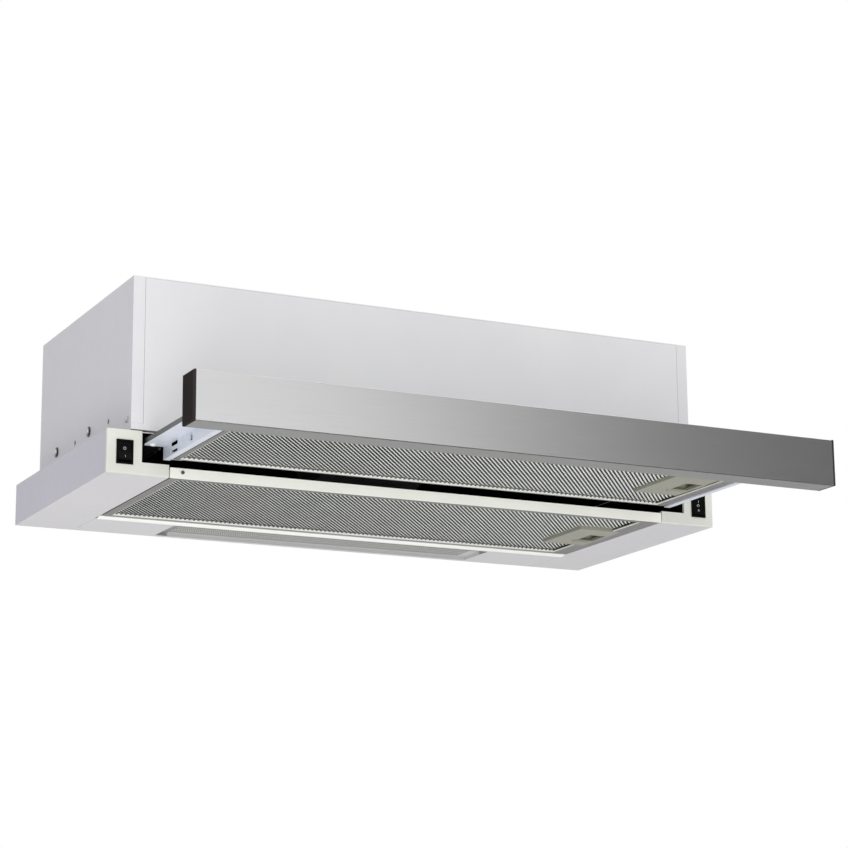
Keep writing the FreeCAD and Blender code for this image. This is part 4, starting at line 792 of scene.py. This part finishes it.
def dress_filter(name, body, finishes):
    """Nets below and above the inner layers of one filter, in place of its plain net."""
    frame_low, frame_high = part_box(name + "_frame")
    left, right, front, rear = BORDERS[name]
    plate_low, plate_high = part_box(name.replace("filter", "latch") + "_plate")
    rectangle = (frame_low.x + left, frame_low.y + front,
                 frame_high.x - right, frame_high.y - rear)
    hole = (plate_low.x - LATCH_GAP, plate_low.y - LATCH_GAP,
            plate_high.x + LATCH_GAP, plate_high.y + LATCH_GAP)
    lower = net_sheet(name + "_lower_net", rectangle, hole, frame_low.z + NET_RECESS, 1,
                      finishes["net"], body)
    upper = net_sheet(name + "_upper_net", rectangle, hole, frame_high.z - NET_SKIN, -1,
                      finishes["net"], body)
    fill = filter_fill(name + "_fill", rectangle, hole, frame_low.z + FILL_LOW,
                       frame_low.z + FILL_HIGH, finishes["fill"], body)
    lip = filter_lip(name + "_lip", rectangle, hole, frame_low.z + LIP_LOW, frame_low.z + LIP_HIGH,
                     finishes["lip"], body)
    for piece in (lower, upper, fill, lip):
        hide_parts(name + "_net")


# Marks on the rockers
def rocker_faces(node):
    """Centre and outward direction of the two pressed faces of a rocker, upper face first."""
    groups = []
    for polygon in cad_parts[node].data.polygons:
        normal = polygon.normal.copy()
        if normal.y >= -FACE_NORMAL:
            continue
        area = polygon.area
        for group in groups:
            if group["normal"].dot(normal) > SAME_NORMAL:
                group["sum"] += polygon.center * area
                group["area"] += area
                break
        else:
            groups.append({"normal": normal, "sum": polygon.center * area, "area": area})
    groups.sort(key=lambda group: -group["area"])
    faces = [(group["sum"] / group["area"], group["normal"]) for group in groups[:2]]
    faces.sort(key=lambda face: -face[0].z)
    return faces


def ring_mark():
    """Ring in the X and Z plane, as vertices and faces with a little thickness."""
    vertices = []
    faces = []
    for step in range(RING_STEPS):
        turn = 2 * math.pi * step / RING_STEPS
        for radius in (RING_RADIUS - MARK_LINE / 2, RING_RADIUS + MARK_LINE / 2):
            for depth in (0.0, -MARK_RAISE):
                vertices.append((radius * math.cos(turn), depth, radius * math.sin(turn)))
    for step in range(RING_STEPS):
        base = step * 4
        after = ((step + 1) % RING_STEPS) * 4
        for first, second in ((0, 1), (1, 3), (3, 2), (2, 0)):
            faces.append((base + first, base + second, after + second, after + first))
    return vertices, faces


def stroke_mark(shift):
    """Upright stroke beside the middle by a shift."""
    half = MARK_LINE / 2
    reach = STROKE_LENGTH / 2
    vertices = []
    for depth in (0.0, -MARK_RAISE):
        for x, z in ((-half, -reach), (half, -reach), (half, reach), (-half, reach)):
            vertices.append((x + shift, depth, z))
    faces = [(0, 1, 2, 3), (7, 6, 5, 4)]
    for corner in range(4):
        following = (corner + 1) % 4
        faces.append((corner, 4 + corner, 4 + following, following))
    return vertices, faces


def put_mark(name, shapes, face, along, body, material):
    """Marks laid on a rocker's face at a distance along it from the face's middle."""
    centre, normal = face
    right = Vector((1, 0, 0))
    up = Vector((0, 0, 1)) - normal * normal.z
    up.normalize()
    place = centre + up * along
    vertices = []
    faces = []
    for shape_vertices, shape_faces in shapes:
        base = len(vertices)
        for x, depth, z in shape_vertices:
            vertices.append(tuple(place + right * x - normal * depth + up * z))
        faces.extend(tuple(base + index for index in item) for item in shape_faces)
    new_piece(name, vertices, faces, material, body)


def mark_rockers(material):
    ring = [ring_mark()]
    stroke = [stroke_mark(0.0)]
    pair = [stroke_mark(-MARK_LINE), stroke_mark(MARK_LINE)]
    upper, lower = rocker_faces("rocker_left")
    put_mark("light_off_mark", ring, upper, LIGHT_OFF_PLACE, "light_rocker", material)
    put_mark("light_on_mark", stroke, lower, LIGHT_ON_PLACE, "light_rocker", material)
    upper, lower = rocker_faces("rocker_right")
    put_mark("speed_one_mark", stroke, upper, SPEED_ONE_PLACE, "speed_rocker", material)
    put_mark("speed_off_mark", ring, upper, SPEED_OFF_PLACE, "speed_rocker", material)
    put_mark("speed_two_mark", pair, lower, SPEED_TWO_PLACE, "speed_rocker", material)


# Studio
def make_world():
    """Soft white light all round, and plain white where the camera, gloss or glass sees it."""
    world = bpy.data.worlds.new("studio")
    bpy.context.scene.world = world
    world.use_nodes = True
    nodes = world.node_tree.nodes
    links = world.node_tree.links
    nodes.clear()
    path = nodes.new("ShaderNodeLightPath")
    soft = nodes.new("ShaderNodeBackground")
    soft.inputs["Color"].default_value = (1, 1, 1, 1)
    soft.inputs["Strength"].default_value = WORLD_LIGHT
    white = nodes.new("ShaderNodeBackground")
    white.inputs["Color"].default_value = (1, 1, 1, 1)
    white.inputs["Strength"].default_value = WHITE
    seen = nodes.new("ShaderNodeMath")
    seen.operation = "MAXIMUM"
    links.new(path.outputs["Is Camera Ray"], seen.inputs[0])
    links.new(path.outputs["Is Transmission Ray"], seen.inputs[1])
    shining = nodes.new("ShaderNodeMath")
    shining.operation = "MAXIMUM"
    links.new(seen.outputs[0], shining.inputs[0])
    links.new(path.outputs["Is Glossy Ray"], shining.inputs[1])
    mix = nodes.new("ShaderNodeMixShader")
    links.new(shining.outputs[0], mix.inputs["Fac"])
    links.new(soft.outputs["Background"], mix.inputs[1])
    links.new(white.outputs["Background"], mix.inputs[2])
    out = nodes.new("ShaderNodeOutputWorld")
    links.new(mix.outputs["Shader"], out.inputs["Surface"])


def make_floor():
    """Pale floor well below the hood, clear when seen from underneath."""
    half = FLOOR_SIZE / 2
    mesh = bpy.data.meshes.new("floor")
    corners = ((-half, -half), (half, -half), (half, half), (-half, half))
    mesh.from_pydata([(x, y, -FLOOR_DROP) for x, y in corners], [], [(0, 1, 2, 3)])
    floor = bpy.data.objects.new("floor", mesh)
    bpy.context.scene.collection.objects.link(floor)
    dark, middle, light = ((shade, shade, shade, 1.0) for shade in FLOOR_SHADES)
    finish = Shader("floor_paint", middle, roughness=0.7)
    haze = finish.span(finish.noise(FLOOR_HAZE_SCALE, 3.0), 0.0, 1.0)
    finish.color(finish.blend(haze, dark, light))
    facing = finish.nodes.new("ShaderNodeNewGeometry").outputs["Backfacing"]
    clear = finish.nodes.new("ShaderNodeBsdfTransparent")
    mix = finish.nodes.new("ShaderNodeMixShader")
    finish.link(facing, mix.inputs["Fac"])
    finish.link(finish.shader.outputs["BSDF"], mix.inputs[1])
    finish.link(clear.outputs["BSDF"], mix.inputs[2])
    finish.link(mix.outputs["Shader"], finish.nodes["Material Output"].inputs["Surface"])
    mesh.materials.append(finish.material)


def area_light(name, place, size, power):
    """Soft lamp aimed at the hood, hidden from reflections."""
    data = bpy.data.lights.new(name, "AREA")
    data.shape = "RECTANGLE"
    data.size, data.size_y = size
    data.energy = power
    lamp = bpy.data.objects.new(name, data)
    bpy.context.scene.collection.objects.link(lamp)
    lamp.visible_glossy = False
    lamp.location = place
    toward = Vector(LAMP_AIM) - Vector(place)
    lamp.rotation_euler = toward.to_track_quat("-Z", "Y").to_euler()


def gloss_card(name, place, aim, size, shade):
    """Plain card that only reflections see, as the dark and grey parts of a studio."""
    half_x, half_y = size[0] / 2, size[1] / 2
    corners = ((-half_x, -half_y), (half_x, -half_y), (half_x, half_y), (-half_x, half_y))
    mesh = bpy.data.meshes.new(name)
    mesh.from_pydata([(x, y, 0) for x, y in corners], [], [(0, 1, 2, 3)])
    card = bpy.data.objects.new(name, mesh)
    bpy.context.scene.collection.objects.link(card)
    card.location = place
    card.rotation_euler = (Vector(aim) - Vector(place)).to_track_quat("Z", "Y").to_euler()
    material = bpy.data.materials.new(name)
    material.use_nodes = True
    nodes = material.node_tree.nodes
    nodes.clear()
    glow = nodes.new("ShaderNodeEmission")
    glow.inputs["Color"].default_value = (shade, shade, shade, 1.0)
    out = nodes.new("ShaderNodeOutputMaterial")
    material.node_tree.links.new(glow.outputs["Emission"], out.inputs["Surface"])
    mesh.materials.append(material)
    card.visible_camera = False
    card.visible_diffuse = False
    card.visible_transmission = False
    card.visible_volume_scatter = False
    card.visible_shadow = False


def make_camera():
    """Camera at the photo's view, turned by its roll about the line of sight."""
    data = bpy.data.cameras.new("view")
    data.lens = CAMERA_LENS
    data.sensor_width = SENSOR
    camera = bpy.data.objects.new("view", data)
    bpy.context.scene.collection.objects.link(camera)
    level = math.cos(CAMERA_ELEVATION)
    away = Vector((math.sin(CAMERA_AZIMUTH) * level, -math.cos(CAMERA_AZIMUTH) * level,
                   math.sin(CAMERA_ELEVATION)))
    place = CAMERA_TARGET + away * CAMERA_DISTANCE
    right = (-away).cross(Vector((0, 0, 1))).normalized()
    up = right.cross(-away)
    rolled = right * math.cos(CAMERA_ROLL) + up * math.sin(CAMERA_ROLL)
    upright = up * math.cos(CAMERA_ROLL) - right * math.sin(CAMERA_ROLL)
    turn = Matrix((rolled, upright, away)).transposed().to_4x4()
    camera.matrix_world = Matrix.Translation(place) @ turn
    bpy.context.scene.camera = camera


def bend_sheets(finishes):
    """Rounded copies of the sheet pieces and mouldings whose edges show."""
    # Besides each piece's own finish: black on inner faces and the darker side paint are painted
    # shade, the bead's brighter paint is a painted highlight, the recess paint holds painted shade,
    # and the bar's darker underside is painted shade
    box = [finishes[name] for name in ("box", "inner_shade", "box_side")]
    housing = [finishes[name] for name in ("housing", "inner_shade", "housing_side")]
    panel = [finishes[name] for name in ("housing", "bead", "recess")]
    cap = [finishes[name] for name in ("cream", "inner_shade")]
    bar = [finishes[name] for name in ("bar", "bar_under")]
    for node in ("upper_shell", "front_panel"):
        bent_copy(node, "housing", box, shell_face)
    for node in ("housing_left", "housing_right"):
        bent_copy(node, "housing", housing, shell_face)
    bent_copy("lamp_panel", "housing", panel, panel_face)
    for node in ("end_cap_left", "end_cap_right"):
        bent_copy(node, "housing", cap, cap_face, MOULD_RADIUS)
    bent_copy("visor_bar", "visor", bar, bar_face, MOULD_RADIUS, BAR_RADIUS)


def make_studio():
    make_world()
    make_floor()
    for lamp in LAMPS:
        area_light(*lamp)
    for card in CARDS:
        gloss_card(*card)
    make_camera()
    bpy.context.scene.view_settings.view_transform = "Standard"


def build():
    finishes = make_finishes()
    dress_nodes(finishes)
    dress_filter("fixed_filter", "fixed_filter", finishes)
    dress_filter("visor_filter", "visor_filter", finishes)
    mark_rockers(finishes["mark"])
    bend_sheets(finishes)
    make_studio()


build()
